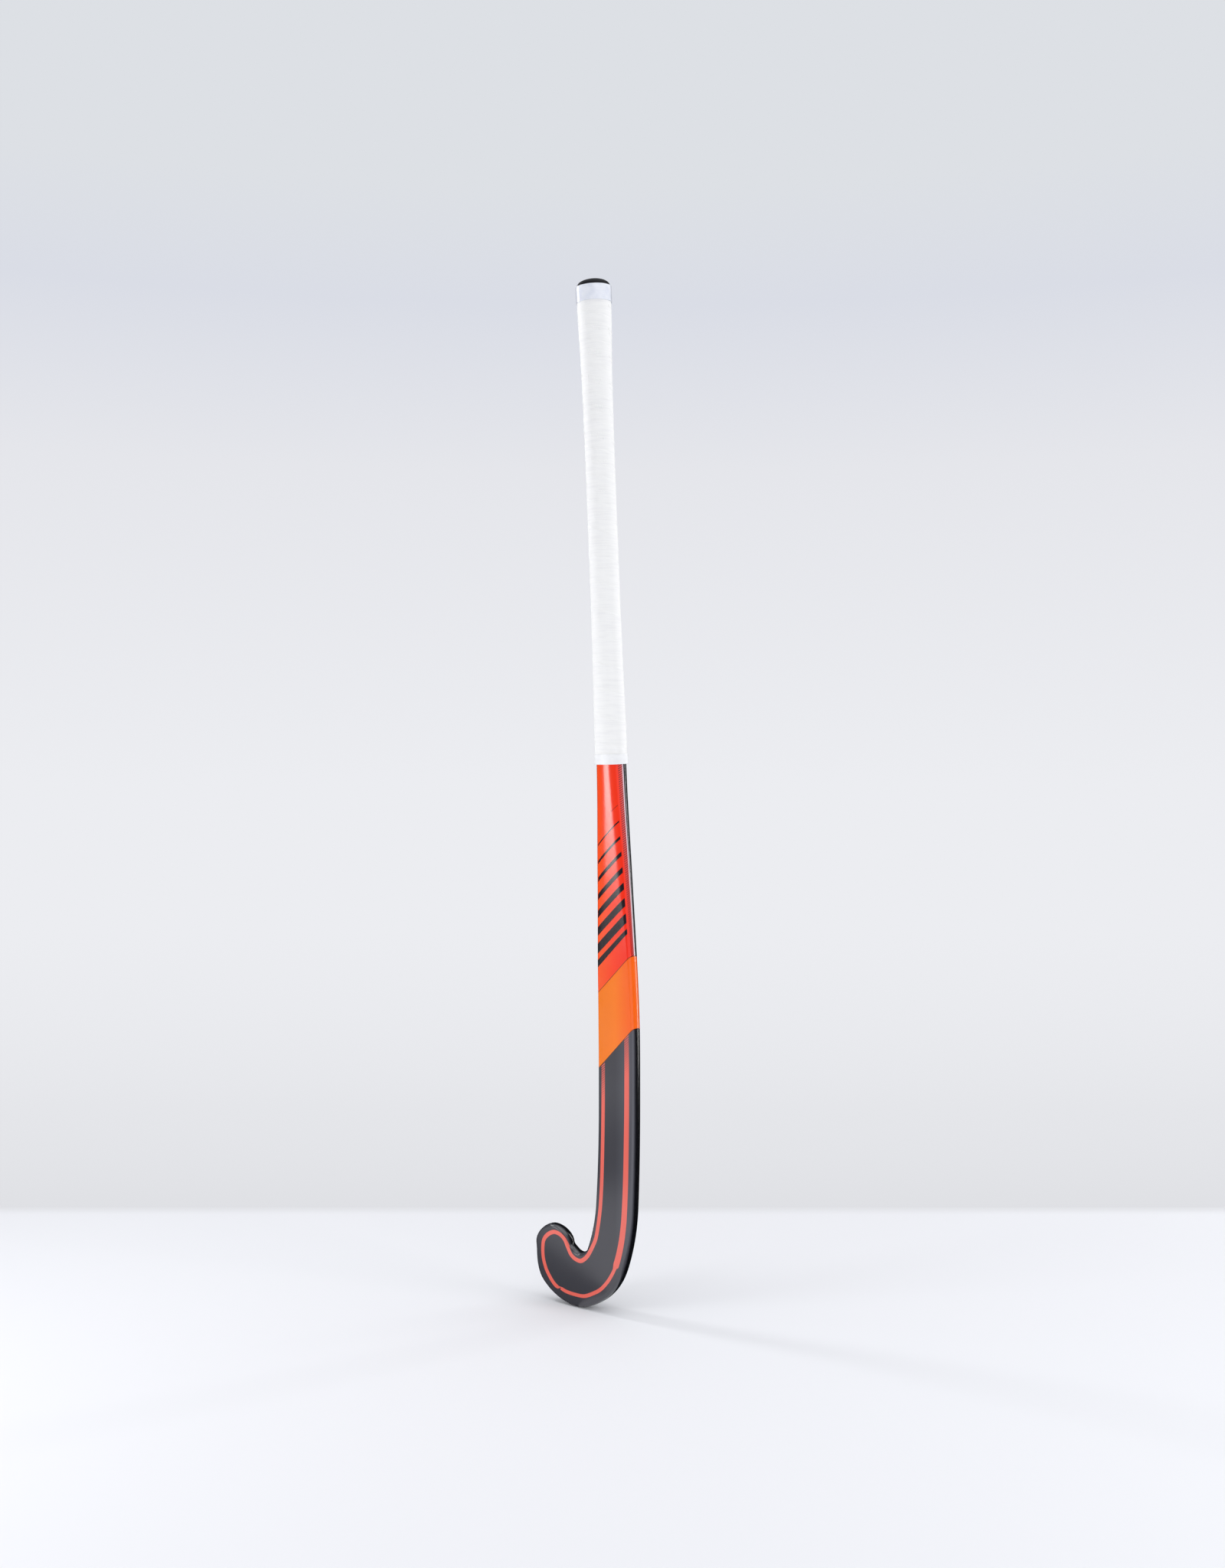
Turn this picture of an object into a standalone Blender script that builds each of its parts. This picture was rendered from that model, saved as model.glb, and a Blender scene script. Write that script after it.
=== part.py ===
"""Indoor hockey stick: laminated wooden core, composite skin, rubber cap and a wrapped grip.

Metres, +Z up. The flat playing face looks to -Y, the round back to +Y and the toe to -X.
The origin is the place on the handle's middle line where the upper hand holds the stick,
so the head hangs below it. Heights in this file are counted from the foot of the head.
"""
import bpy
import bmesh
from collections import namedtuple
from math import acos, atan, copysign, cos, pi, radians, sin
from mathutils import Vector

for old in list(bpy.data.objects):
    bpy.data.objects.remove(old, do_unlink=True)

# Driving dimensions

CLEARANCE = 0.0003
GLUE_LINE = 0.0003
CAP_HEIGHT = 0.0190
HOLD_BELOW_TOP = 0.100

# Control sections of the shaft and the handle, from the foot of the head up. The run is the height
# above the section before. Roundness 0 is flat-faced, 1 is oval.
Section = namedtuple("Section", "run width depth roundness")
SHAFT = Section(run=0.250, width=0.0406, depth=0.0200, roundness=0.0)
UPPER_SHAFT = Section(run=0.050, width=0.0392, depth=0.0200, roundness=0.0)
TAPER = Section(run=0.100, width=0.0338, depth=0.0204, roundness=0.3)
NECK = Section(run=0.078, width=0.0290, depth=0.0212, roundness=0.65)
HANDLE_FOOT = Section(run=0.057, width=0.0275, depth=0.0219, roundness=0.9)
LOWER_HANDLE = Section(run=0.120, width=0.0239, depth=0.0228, roundness=1.0)
UPPER_HANDLE = Section(run=0.115, width=0.0238, depth=0.0229, roundness=1.0)
FLARE = Section(run=0.068, width=0.0249, depth=0.0234, roundness=1.0)
BUTT = Section(run=0.070, width=0.0280, depth=0.0266, roundness=1.0)
SECTIONS = (SHAFT, UPPER_SHAFT, TAPER, NECK, HANDLE_FOOT, LOWER_HANDLE, UPPER_HANDLE, FLARE, BUTT)

# The flat-faced section: rounded front edges and a superellipse for the back
EDGE_WIDTH = 0.0027
EDGE_DEPTH = 0.0053
BACK_POWER = 2.5
TOE_BACK_POWER = 2.1
OVAL_SHARE = 0.9

# Bow: the shaft bends over a short stretch, and the handle above leans to the playing side
BOW_START = 0.220
BOW_LENGTH = 0.100
HANDLE_LEAN = 0.064

# Hook: three bends of the middle line, from the shaft to the toe
UPPER_BEND_RADIUS = 1.389
UPPER_BEND_ANGLE = 3.73
HEEL_BEND_RADIUS = 0.1647
HEEL_BEND_ANGLE = 18.1
CROOK_RADIUS = 0.0300
CROOK_ANGLE = 150.4

# How far the head reaches out and in from the middle line, at the start and each quarter of the crook.
# The inner edge of the crook keeps to one circle, while the outer edge swells towards the toe.
Reach = namedtuple("Reach", "outer inner")
HEEL = Reach(outer=0.0227, inner=0.0203)
HEEL_TURN = Reach(outer=0.0249, inner=0.0212)
HEAD = Reach(outer=0.0296, inner=0.0212)
TOE_ROOT = Reach(outer=0.0301, inner=0.0212)
TOE = Reach(outer=0.0223, inner=0.0187)
REACHES = (HEEL, HEEL_TURN, HEAD, TOE_ROOT, TOE)

# The toe: a half superellipse, its reach as a share of the half width
TOE_DEPTH = 0.0177
TOE_STRETCH = 0.81
TOE_POWER = 1.70

# Wooden core
SKIN = 0.0009
STRIP = 0.0075
STRIP_COUNT = 6
SPLICE_LENGTH = 0.143
SPLICE_WIDTH = 0.0330
DAMPER = 0.0020

# Heel guard: a fibre strip let into the outer edge of the head
GUARD_THICKNESS = 0.0020
GUARD_WIDTH = 0.0085
GUARD_FRONT = 0.0020
GUARD_START_ANGLE = 8.0
GUARD_END_ANGLE = 128.0

# Grip, tape, collar and cap
GRIP_WALL = 0.0010
GRIP_ABOVE_NECK = 0.0215
GRIP_ABOVE_WOOD = 0.0070
TAPE_WALL = 0.0005
TAPE_HEIGHT = 0.0092
TAPE_OVERHANG = 0.0005
COLLAR_WALL = 0.0004
COLLAR_ON_GRIP = 0.0085
COLLAR_ABOVE_GRIP = 0.0054
CAP_SKIRT = 0.0120
CAP_FLAT = 0.0040
LIP_SETBACK = 0.0003
DOME_POWER = 2.25

# Room that the saws leave past the surface, front and back, and past the widest part of the hook
SAW_SPARE = 0.0040
SIDE_SPARE = 0.0010

# Fineness of the mesh
EDGE_STEPS = 3
BACK_STEPS = 6
SHAFT_STEP = 0.024
BEND_STEP = radians(8.5)
TOE_STEPS = 12
DOME_STEPS = 5
FOOT_STEPS = 400
SHARP_ANGLE = radians(38)


def height_of(section):
    """Height of a control section above the foot of the head."""
    return sum(each.run for each in SECTIONS[:SECTIONS.index(section) + 1])


# Places along the stick that follow from these

WOOD_TOP = height_of(BUTT)
STICK_LENGTH = WOOD_TOP + CAP_HEIGHT
HOLD_HEIGHT = STICK_LENGTH - HOLD_BELOW_TOP
SPLICE_HEAD = height_of(NECK)
SPLICE_FOOT = SPLICE_HEAD - SPLICE_LENGTH
GRIP_FOOT = height_of(NECK) + GRIP_ABOVE_NECK
GRIP_TOP = WOOD_TOP + GRIP_ABOVE_WOOD
COLLAR_TOP = GRIP_TOP + COLLAR_ABOVE_GRIP

BENDS = ((UPPER_BEND_RADIUS, radians(UPPER_BEND_ANGLE)),
         (HEEL_BEND_RADIUS, radians(HEEL_BEND_ANGLE)),
         (CROOK_RADIUS, radians(CROOK_ANGLE)))
TOE_CENTRE = sum(radius * angle for radius, angle in BENDS)
CROOK_LENGTH = CROOK_RADIUS * radians(CROOK_ANGLE)
CROOK_START = TOE_CENTRE - CROOK_LENGTH


def smooth(knots, at):
    """Value of a smooth curve through (position, value) knots that never overshoots them."""
    if at <= knots[0][0]:
        return knots[0][1]
    if at >= knots[-1][0]:
        return knots[-1][1]
    rises = [(b[1] - a[1]) / (b[0] - a[0]) for a, b in zip(knots, knots[1:])]
    slopes = [0.0]
    for before, after in zip(rises, rises[1:]):
        same_way = before * after > 0
        slopes.append(2 * before * after / (before + after) if same_way else 0.0)
    slopes.append(0.0)
    i = max(k for k in range(len(knots) - 1) if knots[k][0] <= at)
    span = knots[i + 1][0] - knots[i][0]
    t = (at - knots[i][0]) / span
    value = knots[i][1] * (1 + 2 * t) * (1 - t) ** 2 + knots[i + 1][1] * t * t * (3 - 2 * t)
    return value + span * (slopes[i] * t * (1 - t) ** 2 - slopes[i + 1] * t * t * (1 - t))


def bend_path(distance, start_height):
    """Side place, height and turn of the middle line at a distance past the start of the hook."""
    side, height, turn = 0.0, start_height, 0.0
    if distance <= 0:
        return side, height - distance, turn
    for radius, angle in BENDS:
        after = turn + min(distance / radius, angle)
        side += radius * (cos(after) - cos(turn))
        height -= radius * (sin(after) - sin(turn))
        distance -= radius * (after - turn)
        turn = after
        if distance <= 0:
            return side, height, turn
    return side - distance * sin(turn), height - distance * cos(turn), turn


QUARTERS = [CROOK_START + CROOK_LENGTH * i / (len(REACHES) - 1) for i in range(len(REACHES))]
OUTER_REACHES = [(0.0, SHAFT.width / 2)] + [(at, reach.outer) for at, reach in zip(QUARTERS, REACHES)]
INNER_REACHES = [(0.0, SHAFT.width / 2)] + [(at, reach.inner) for at, reach in zip(QUARTERS, REACHES)]
HOOK_DEPTHS = ((CROOK_START, SHAFT.depth), (TOE_CENTRE, TOE_DEPTH))
BACK_POWERS = ((CROOK_START, BACK_POWER), (TOE_CENTRE, TOE_BACK_POWER))


def hook_foot():
    """How far the outer edge of the head reaches below the start of the hook."""
    lowest = 0.0
    for step in range(FOOT_STEPS + 1):
        distance = TOE_CENTRE * step / FOOT_STEPS
        height, turn = bend_path(distance, 0.0)[1:]
        lowest = min(lowest, height - sin(turn) * smooth(OUTER_REACHES, distance))
    return -lowest


HOOK_START = hook_foot()


def bow(height):
    """Place of the middle line from front to back, 0 where the shaft is straight."""
    past = height - BOW_START
    if past <= 0:
        return 0.0
    if past <= BOW_LENGTH:
        return -HANDLE_LEAN * past ** 2 / (2 * BOW_LENGTH)
    return -HANDLE_LEAN * (past - BOW_LENGTH / 2)


def lean(height):
    """Angle of the middle line from the vertical."""
    share = (height - BOW_START) / BOW_LENGTH
    return atan(HANDLE_LEAN * min(max(share, 0.0), 1.0))


SHAFT_KNOTS = [[(height_of(section), getattr(section, name)) for section in SECTIONS]
               for name in ("width", "depth", "roundness")]


def form_at(distance):
    """Width, depth and roundness of the finished wood and skin at a distance past the hook's start."""
    if distance > 0:
        width = smooth(OUTER_REACHES, distance) + smooth(INNER_REACHES, distance)
        return width, smooth(HOOK_DEPTHS, distance), 0.0
    return tuple(smooth(knots, HOOK_START - distance) for knots in SHAFT_KNOTS)


def shift_at(distance):
    """How far the middle of the section lies outside the middle line; 0 above the hook."""
    if distance <= 0:
        return 0.0
    return (smooth(OUTER_REACHES, distance) - smooth(INNER_REACHES, distance)) / 2


def half_section(distance, inset):
    """Half of a section, as (across, back) points from the middle of the face round to the middle
    of the back, drawn in by the inset (or out, where it is negative)."""
    width, depth, roundness = form_at(distance)
    half = width / 2 - inset
    edge = EDGE_WIDTH + (width / 2 * OVAL_SHARE - EDGE_WIDTH) * roundness - inset
    front = EDGE_DEPTH + (depth / 2 - EDGE_DEPTH) * roundness - inset
    flat_power = smooth(BACK_POWERS, distance)
    power = flat_power + (2 - flat_power) * roundness
    rear = depth - 2 * inset - front
    points = [(0.0, inset)]
    for step in range(EDGE_STEPS + 1):
        turn = pi / 2 * step / EDGE_STEPS
        points.append((half - edge + edge * sin(turn), inset + front - front * cos(turn)))
    for step in range(1, BACK_STEPS):
        turn = pi / 2 * step / BACK_STEPS
        points.append((half * cos(turn) ** (2 / power), inset + front + rear * sin(turn) ** (2 / power)))
    points.append((0.0, depth - inset))
    return points


def place(distance, across, back, onward=0.0):
    """Point of the stick: across from the section's middle, back from its face plane."""
    side, height, turn = bend_path(distance, HOOK_START)
    depth = form_at(distance)[1]
    across += shift_at(distance)
    if distance > 0:
        face = 0.0
    else:
        face = (SHAFT.depth - depth) / 2
    tilt = lean(height)
    drop = (back - depth / 2) * sin(tilt)
    x = side + across * cos(turn) - onward * sin(turn)
    y = bow(height) + face + depth / 2 + (back - depth / 2) * cos(tilt)
    z = height - across * sin(turn) - onward * cos(turn) + drop
    return Vector((x, y, z))


def ring(distance, inset):
    """Closed section at a distance past the hook's start."""
    half = half_section(distance, inset)
    right = [place(distance, across, back) for across, back in half]
    left = [place(distance, -across, back) for across, back in half[-2:0:-1]]
    return right + left


def at_height(height):
    return HOOK_START - height


def stations(top, foot):
    """Distances from one height down to another, closer where the section changes."""
    count = max(2, round((top - foot) / SHAFT_STEP))
    return [at_height(top + (foot - top) * step / count) for step in range(count + 1)]


def hook_stations():
    """Distances from the hook's start to the middle of the round toe."""
    distances = [0.0]
    start = 0.0
    for radius, angle in BENDS:
        count = max(2, round(angle / BEND_STEP))
        distances += [start + radius * angle * step / count for step in range(1, count + 1)]
        start += radius * angle
    return distances


def add_ring(mesh, points):
    return [mesh.verts.new(point) for point in points]


def bridge(mesh, first, second):
    """Quads between two rings with as many points each."""
    count = len(first)
    for i in range(count):
        j = (i + 1) % count
        mesh.faces.new((first[i], first[j], second[j], second[i]))


def finish(mesh, name):
    """Turns the faces outwards and makes the mesh data."""
    bmesh.ops.recalc_face_normals(mesh, faces=mesh.faces)
    data = bpy.data.meshes.new(name)
    mesh.to_mesh(data)
    mesh.free()
    data.shade_smooth()
    data.set_sharp_from_angle(angle=SHARP_ANGLE)
    return data


def loft(name, rings):
    """Closed body through a list of rings, flat at both ends."""
    mesh = bmesh.new()
    rows = [add_ring(mesh, points) for points in rings]
    for first, second in zip(rows, rows[1:]):
        bridge(mesh, first, second)
    mesh.faces.new(rows[0])
    mesh.faces.new(rows[-1])
    return finish(mesh, name)


def tube(name, distances, outer, inner):
    """Open sleeve between two insets of the form."""
    mesh = bmesh.new()
    rings = [ring(d, outer) for d in distances] + [ring(d, inner) for d in reversed(distances)]
    rows = [add_ring(mesh, points) for points in rings]
    for first, second in zip(rows, rows[1:] + rows[:1]):
        bridge(mesh, first, second)
    return finish(mesh, name)


def toe_curve(turn):
    """Shares of the half width, across and onward, at a turn round the end of the toe."""
    across = copysign(abs(cos(turn)) ** (2 / TOE_POWER), cos(turn))
    return across, TOE_STRETCH * sin(turn) ** (2 / TOE_POWER)


def sock(mesh, distances, inset):
    """Surface of the form from the first distance down to the toe and round it. Returns its top ring."""
    rows = [add_ring(mesh, ring(d, inset)) for d in distances]
    for first, second in zip(rows, rows[1:]):
        bridge(mesh, first, second)
    last = rows[-1]
    half = half_section(distances[-1], inset)
    count = len(half)
    front, rear = last[0], last[count - 1]
    strand = last[1:count - 1]
    for step in range(1, TOE_STEPS + 1):
        if step < TOE_STEPS:
            across, onward = toe_curve(pi * step / TOE_STEPS)
            after = add_ring(mesh, [place(distances[-1], a * across, b, a * onward) for a, b in half[1:-1]])
        else:
            after = list(reversed(last[count:]))
        mesh.faces.new((front, strand[0], after[0]))
        for i in range(len(strand) - 1):
            mesh.faces.new((strand[i], strand[i + 1], after[i + 1], after[i]))
        mesh.faces.new((strand[-1], rear, after[-1]))
        strand = after
    return rows[0]


def prism(name, outline):
    """Cutter: an upright (side, height) outline carried through the stick from front to back."""
    reach = HANDLE_LEAN * STICK_LENGTH + SHAFT.depth + BUTT.depth
    mesh = bmesh.new()
    front = add_ring(mesh, [(x, -reach, z) for x, z in outline])
    rear = add_ring(mesh, [(x, reach, z) for x, z in outline])
    bridge(mesh, front, rear)
    mesh.faces.new(front)
    mesh.faces.new(rear)
    return finish(mesh, name)


def bar(name, distances, corners):
    """Cutter that follows the middle line: corners(distance) gives its four (across, back) corners."""
    return loft(name, [[place(d, across, back) for across, back in corners(d)] for d in distances])


# Scene tree: every piece hangs on one empty at the foot of the head

hold_depth = form_at(at_height(HOLD_HEIGHT))[1]
hold = place(at_height(HOLD_HEIGHT), 0.0, hold_depth / 2)
foot = bpy.data.objects.new("foot_of_head", None)
foot.location = -hold
bpy.context.scene.collection.objects.link(foot)

stick = bpy.data.collections.new("indoor_hockey_stick")
cutters = bpy.data.collections.new("cutters")
bpy.context.scene.collection.children.link(stick)
bpy.context.scene.collection.children.link(cutters)


def material(name, colour, roughness, metallic=0.0):
    made = bpy.data.materials.new(name)
    made.use_nodes = True
    made.diffuse_color = (*colour, 1.0)
    shader = made.node_tree.nodes["Principled BSDF"]
    shader.inputs["Base Color"].default_value = (*colour, 1.0)
    shader.inputs["Roughness"].default_value = roughness
    shader.inputs["Metallic"].default_value = metallic
    return made


def piece(name, data, finish_material):
    made = bpy.data.objects.new(name, data)
    stick.objects.link(made)
    made.parent = foot
    if not data.materials:
        data.materials.append(finish_material)
    return made


def cutter(name, data):
    made = bpy.data.objects.new(name, data)
    cutters.objects.link(made)
    made.parent = foot
    made.hide_render = True
    made.display_type = "WIRE"
    return made


def cut(made, tool, operation):
    modifier = made.modifiers.new(tool.name, "BOOLEAN")
    modifier.operation = operation
    modifier.object = tool


# Wooden core: one blank under the skin, sawn into head strips, handle blades and the damping strip

def core_mesh(name):
    distances = stations(WOOD_TOP, HOOK_START)[:-1] + hook_stations()
    mesh = bmesh.new()
    top = sock(mesh, distances, SKIN + CLEARANCE)
    mesh.faces.new(top)
    return finish(mesh, name)


splice_slope = SPLICE_WIDTH / 2 / (SPLICE_HEAD - SPLICE_FOOT)
above_wood = WOOD_TOP + SAW_SPARE
strip_reach = max(reach.outer + reach.inner for reach in REACHES) / 2 + SIDE_SPARE
strip_distances = stations(SPLICE_HEAD, HOOK_START)[:-1] + hook_stations()
strip_distances.append(TOE_CENTRE + TOE.outer + TOE.inner)


def wedge_height(across, offset):
    """Height at which the splice's slanted side, moved out by the offset, is this far across."""
    return SPLICE_FOOT + (across - offset) / splice_slope


def splice_cutter():
    """The wedge that the head strips leave open for the handle."""
    offset = GLUE_LINE / 2
    wide = SPLICE_WIDTH / 2 + offset
    outline = [(0.0, wedge_height(0.0, offset)),
               (wide, SPLICE_HEAD), (wide, above_wood),
               (-wide, above_wood), (-wide, SPLICE_HEAD)]
    return cutter("splice_wedge", prism("splice_wedge", outline))


def blade_cutter(name, side):
    """The half of the wedge on one side of the damping strip."""
    inner = DAMPER / 2 + GLUE_LINE
    offset = -GLUE_LINE / 2
    wide = SPLICE_WIDTH / 2 + offset
    outline = [(side * inner, wedge_height(inner, offset)),
               (side * wide, SPLICE_HEAD),
               (side * wide, above_wood),
               (side * inner, above_wood)]
    return cutter(name, prism(name, outline))


def strip_cutter(index):
    """The stretch across the width that one head strip takes up; the outer two take the rest."""
    low = (index - STRIP_COUNT / 2) * STRIP + GLUE_LINE / 2
    high = low + STRIP - GLUE_LINE
    if index == 0:
        low = -strip_reach
    if index == STRIP_COUNT - 1:
        high = strip_reach

    def corners(distance):
        front, rear = -SAW_SPARE, form_at(distance)[1] + SAW_SPARE
        return [(low, front), (high, front), (high, rear), (low, rear)]

    name = "strip_%d_saw" % (index + 1)
    return cutter(name, bar(name, strip_distances, corners))


def distance_at(angle):
    """Distance past the hook's start at which the middle line has turned this far."""
    distance = 0.0
    for radius, bend in BENDS:
        part = min(angle, bend)
        distance += radius * part
        angle -= part
    return distance


def guard_cutter(name, spare):
    """The rebate along the outer edge of the head, with spare room round the strip."""
    first = distance_at(radians(GUARD_START_ANGLE)) - spare
    last = distance_at(radians(GUARD_END_ANGLE)) + spare
    inside = [d for d in hook_stations() if first + spare < d < last - spare]

    def corners(distance):
        surface = form_at(distance)[0] / 2 - SKIN - CLEARANCE
        low, high = surface - GUARD_THICKNESS - spare, surface + SAW_SPARE
        front = GUARD_FRONT - spare
        rear = GUARD_FRONT + GUARD_WIDTH + spare
        return [(low, front), (high, front), (high, rear), (low, rear)]

    return cutter(name, bar(name, [first] + inside + [last], corners))


wedge = splice_cutter()
rebate = guard_cutter("guard_rebate", GLUE_LINE)
guard_form = guard_cutter("guard_form", 0.0)

mulberry = material("mulberry_strip", (0.71, 0.50, 0.27), 0.55)
core = core_mesh("core_blank")
core.materials.append(mulberry)
for number in range(STRIP_COUNT):
    strip = piece("head_lamination_%d" % (number + 1), core, mulberry)
    cut(strip, strip_cutter(number), "INTERSECT")
    cut(strip, wedge, "DIFFERENCE")
    if number == STRIP_COUNT - 1:
        cut(strip, rebate, "DIFFERENCE")

cane = material("handle_cane", (0.60, 0.41, 0.20), 0.6)
for blade_name, direction in (("handle_blade_toe_side", -1), ("handle_blade_heel_side", 1)):
    blade = piece(blade_name, core_mesh(blade_name), cane)
    cut(blade, blade_cutter(blade_name + "_saw", direction), "INTERSECT")

damper_foot = wedge_height(DAMPER / 2 + GLUE_LINE, 0.0)
damper_outline = [(-DAMPER / 2, damper_foot), (DAMPER / 2, damper_foot),
                  (DAMPER / 2, above_wood), (-DAMPER / 2, above_wood)]
damper_saw = cutter("damping_strip_saw", prism("damping_strip_saw", damper_outline))
damper = piece("damping_strip", core_mesh("damping_strip"),
               material("damping_rubber", (0.05, 0.05, 0.05), 0.8))
cut(damper, damper_saw, "INTERSECT")

guard = piece("heel_guard", core_mesh("heel_guard"), material("aramid_strip", (0.55, 0.42, 0.10), 0.5))
cut(guard, guard_form, "INTERSECT")


# Composite skin: a thin sock round the wood, open at the top, where the cap's skirt takes its place

def skin_mesh(name):
    distances = stations(WOOD_TOP - CAP_SKIRT, HOOK_START)[:-1] + hook_stations()
    mesh = bmesh.new()
    outside = sock(mesh, distances, 0.0)
    inside = sock(mesh, distances, SKIN)
    bridge(mesh, outside, inside)
    return finish(mesh, name)


piece("composite_skin", skin_mesh("composite_skin"),
      material("painted_composite", (0.06, 0.06, 0.07), 0.35))


# Grip, finishing tape and clear collar: sleeves over the form

grip_inside = -CLEARANCE
grip_outside = grip_inside - GRIP_WALL
cover_inside = grip_outside - CLEARANCE
tape_foot = GRIP_FOOT - TAPE_OVERHANG

piece("grip_sleeve", tube("grip_sleeve", stations(GRIP_TOP, GRIP_FOOT), grip_outside, grip_inside),
      material("white_polyurethane", (0.86, 0.87, 0.89), 0.55))
piece("finishing_tape", tube("finishing_tape", stations(tape_foot + TAPE_HEIGHT, tape_foot),
                             cover_inside - TAPE_WALL, cover_inside),
      material("white_tape", (0.90, 0.90, 0.92), 0.5))
piece("top_collar", tube("top_collar", stations(COLLAR_TOP, GRIP_TOP - COLLAR_ON_GRIP),
                         cover_inside - COLLAR_WALL, cover_inside),
      material("clear_film", (0.80, 0.84, 0.90), 0.2))


# Butt cap: a rubber cup over the end of the wood, with a lip over the grip and a low dome

def cap_mesh(name):
    skirt_foot = WOOD_TOP - CAP_SKIRT + CLEARANCE
    lip_foot = GRIP_TOP + CLEARANCE
    lip_inset = grip_outside + LIP_SETBACK
    rise = STICK_LENGTH - COLLAR_TOP
    reach = BUTT.depth / 2 - lip_inset
    share = 2 / DOME_POWER
    rings = [ring(at_height(WOOD_TOP + CLEARANCE), SKIN),
             ring(at_height(skirt_foot), SKIN),
             ring(at_height(skirt_foot), 0.0),
             ring(at_height(lip_foot), 0.0),
             ring(at_height(lip_foot), lip_inset),
             ring(at_height(COLLAR_TOP), lip_inset)]
    last_turn = acos((CAP_FLAT / reach) ** (1 / share))
    for step in range(1, DOME_STEPS + 1):
        turn = last_turn * step / DOME_STEPS
        height = COLLAR_TOP + rise * (sin(turn) / sin(last_turn)) ** share
        rings.append(ring(at_height(height), lip_inset + reach * (1 - cos(turn) ** share)))
    return loft(name, rings)


piece("butt_cap", cap_mesh("butt_cap"), material("cap_rubber", (0.015, 0.016, 0.022), 0.6))
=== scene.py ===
"""Indoor hockey stick, dressed for the studio: wooden core, printed composite skin, wound grip,
finishing tape, clear collar and rubber butt cap. Metres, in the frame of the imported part."""
from math import acos, atan, copysign, cos, pi, radians, sin

import bmesh
import bpy
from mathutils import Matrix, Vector
from mathutils.kdtree import KDTree


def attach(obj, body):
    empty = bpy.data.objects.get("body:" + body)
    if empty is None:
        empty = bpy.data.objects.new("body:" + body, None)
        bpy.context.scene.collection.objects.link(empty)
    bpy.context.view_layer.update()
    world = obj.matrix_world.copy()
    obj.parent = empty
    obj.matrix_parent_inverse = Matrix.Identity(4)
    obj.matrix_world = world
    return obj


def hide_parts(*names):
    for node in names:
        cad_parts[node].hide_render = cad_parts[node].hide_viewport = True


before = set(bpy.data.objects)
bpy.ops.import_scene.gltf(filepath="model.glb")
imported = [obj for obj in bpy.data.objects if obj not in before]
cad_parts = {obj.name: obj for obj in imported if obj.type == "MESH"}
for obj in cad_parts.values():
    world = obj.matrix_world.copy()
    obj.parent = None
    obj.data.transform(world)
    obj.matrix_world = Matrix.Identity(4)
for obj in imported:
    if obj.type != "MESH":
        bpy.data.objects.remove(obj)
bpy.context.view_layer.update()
scene = bpy.context.scene
scene.view_settings.view_transform = "Standard"


# Camera
# The photograph was taken level, 1.4 m from the stick and 37 degrees round from the playing face,
# with the lens at 481 mm above the foot of the head.

HOLD = Vector((0.0, -0.025648, 0.827))
CAMERA_TURN = radians(37)
CAMERA_REACH = 1.400
CAMERA_HEIGHT = 0.48095
CAMERA_SIDESTEP = 0.00345
CAMERA_AXIS_DEPTH = 0.00197
LENS = 35.62

camera_data = bpy.data.cameras.new("studio_camera")
camera_data.sensor_width = 36.0
camera_data.lens = LENS
camera = bpy.data.objects.new("studio_camera", camera_data)
scene.collection.objects.link(camera)
camera.location = Vector((CAMERA_REACH * sin(CAMERA_TURN) - CAMERA_SIDESTEP * cos(CAMERA_TURN),
                          CAMERA_AXIS_DEPTH - CAMERA_REACH * cos(CAMERA_TURN)
                          - CAMERA_SIDESTEP * sin(CAMERA_TURN),
                          CAMERA_HEIGHT)) - HOLD
camera.rotation_euler = (pi / 2, 0.0, CAMERA_TURN)
scene.camera = camera


# Studio floor and surround
# Pale painted board under the stick. A third of a metre behind it the board no longer takes light but
# glows in the greyer tone of the surround as painted light; the surround climbs behind the stick without a
# visible joint.

FLOOR_SIZE = 40.0
SURROUND_START = 0.372
SURROUND_SOFT = 0.016
WALL_RISE = 0.36

# The surround, a painted glow on the board and the world above it, is palest far away: (share of the way
# there, tone), then (share of its rise, tone)
FLOOR_TONES = ((0.10, "#ecedf1"), (0.40, "#e5e6ea"), (1.0, "#dfe0e4"))
WALL_TONES = ((0.0, "#ecedf1"), (0.55, "#e5e6eb"), (0.82, "#dadde6"), (1.0, "#dde0e5"))


def colour(hex_code):
    """Linear colour of an sRGB hex value, with its alpha where two more digits give one."""
    parts = [int(hex_code[i:i + 2], 16) / 255 for i in (1, 3, 5)]
    alpha = int(hex_code[7:] or "ff", 16) / 255
    return tuple(c / 12.92 if c <= 0.04045 else ((c + 0.055) / 1.055) ** 2.4 for c in parts) + (alpha,)


def add_node(tree, kind, inputs=None, **settings):
    """Adds a node. Inputs, by name or number, are values, sockets, or nodes, which give their first
    output in use."""
    node = tree.nodes.new(kind)
    for name, value in settings.items():
        setattr(node, name, value)
    for name, value in (inputs or {}).items():
        if isinstance(value, bpy.types.Node):
            value = next(socket for socket in value.outputs if socket.enabled)
        if isinstance(value, bpy.types.NodeSocket):
            tree.links.new(value, node.inputs[name])
        else:
            node.inputs[name].default_value = value
    return node


def set_stops(ramp, stops):
    """Stops of a colour ramp: (position, hex colour)."""
    ramp.elements[0].position, ramp.elements[0].color = stops[0][0], colour(stops[0][1])
    ramp.elements[1].position, ramp.elements[1].color = stops[-1][0], colour(stops[-1][1])
    for position, hex_code in stops[1:-1]:
        ramp.elements.new(position).color = colour(hex_code)


def new_material(name):
    """Material and its tree, which is still empty."""
    made = bpy.data.materials.new(name)
    made.use_nodes = True
    made.node_tree.nodes.clear()
    return made, made.node_tree


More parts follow.
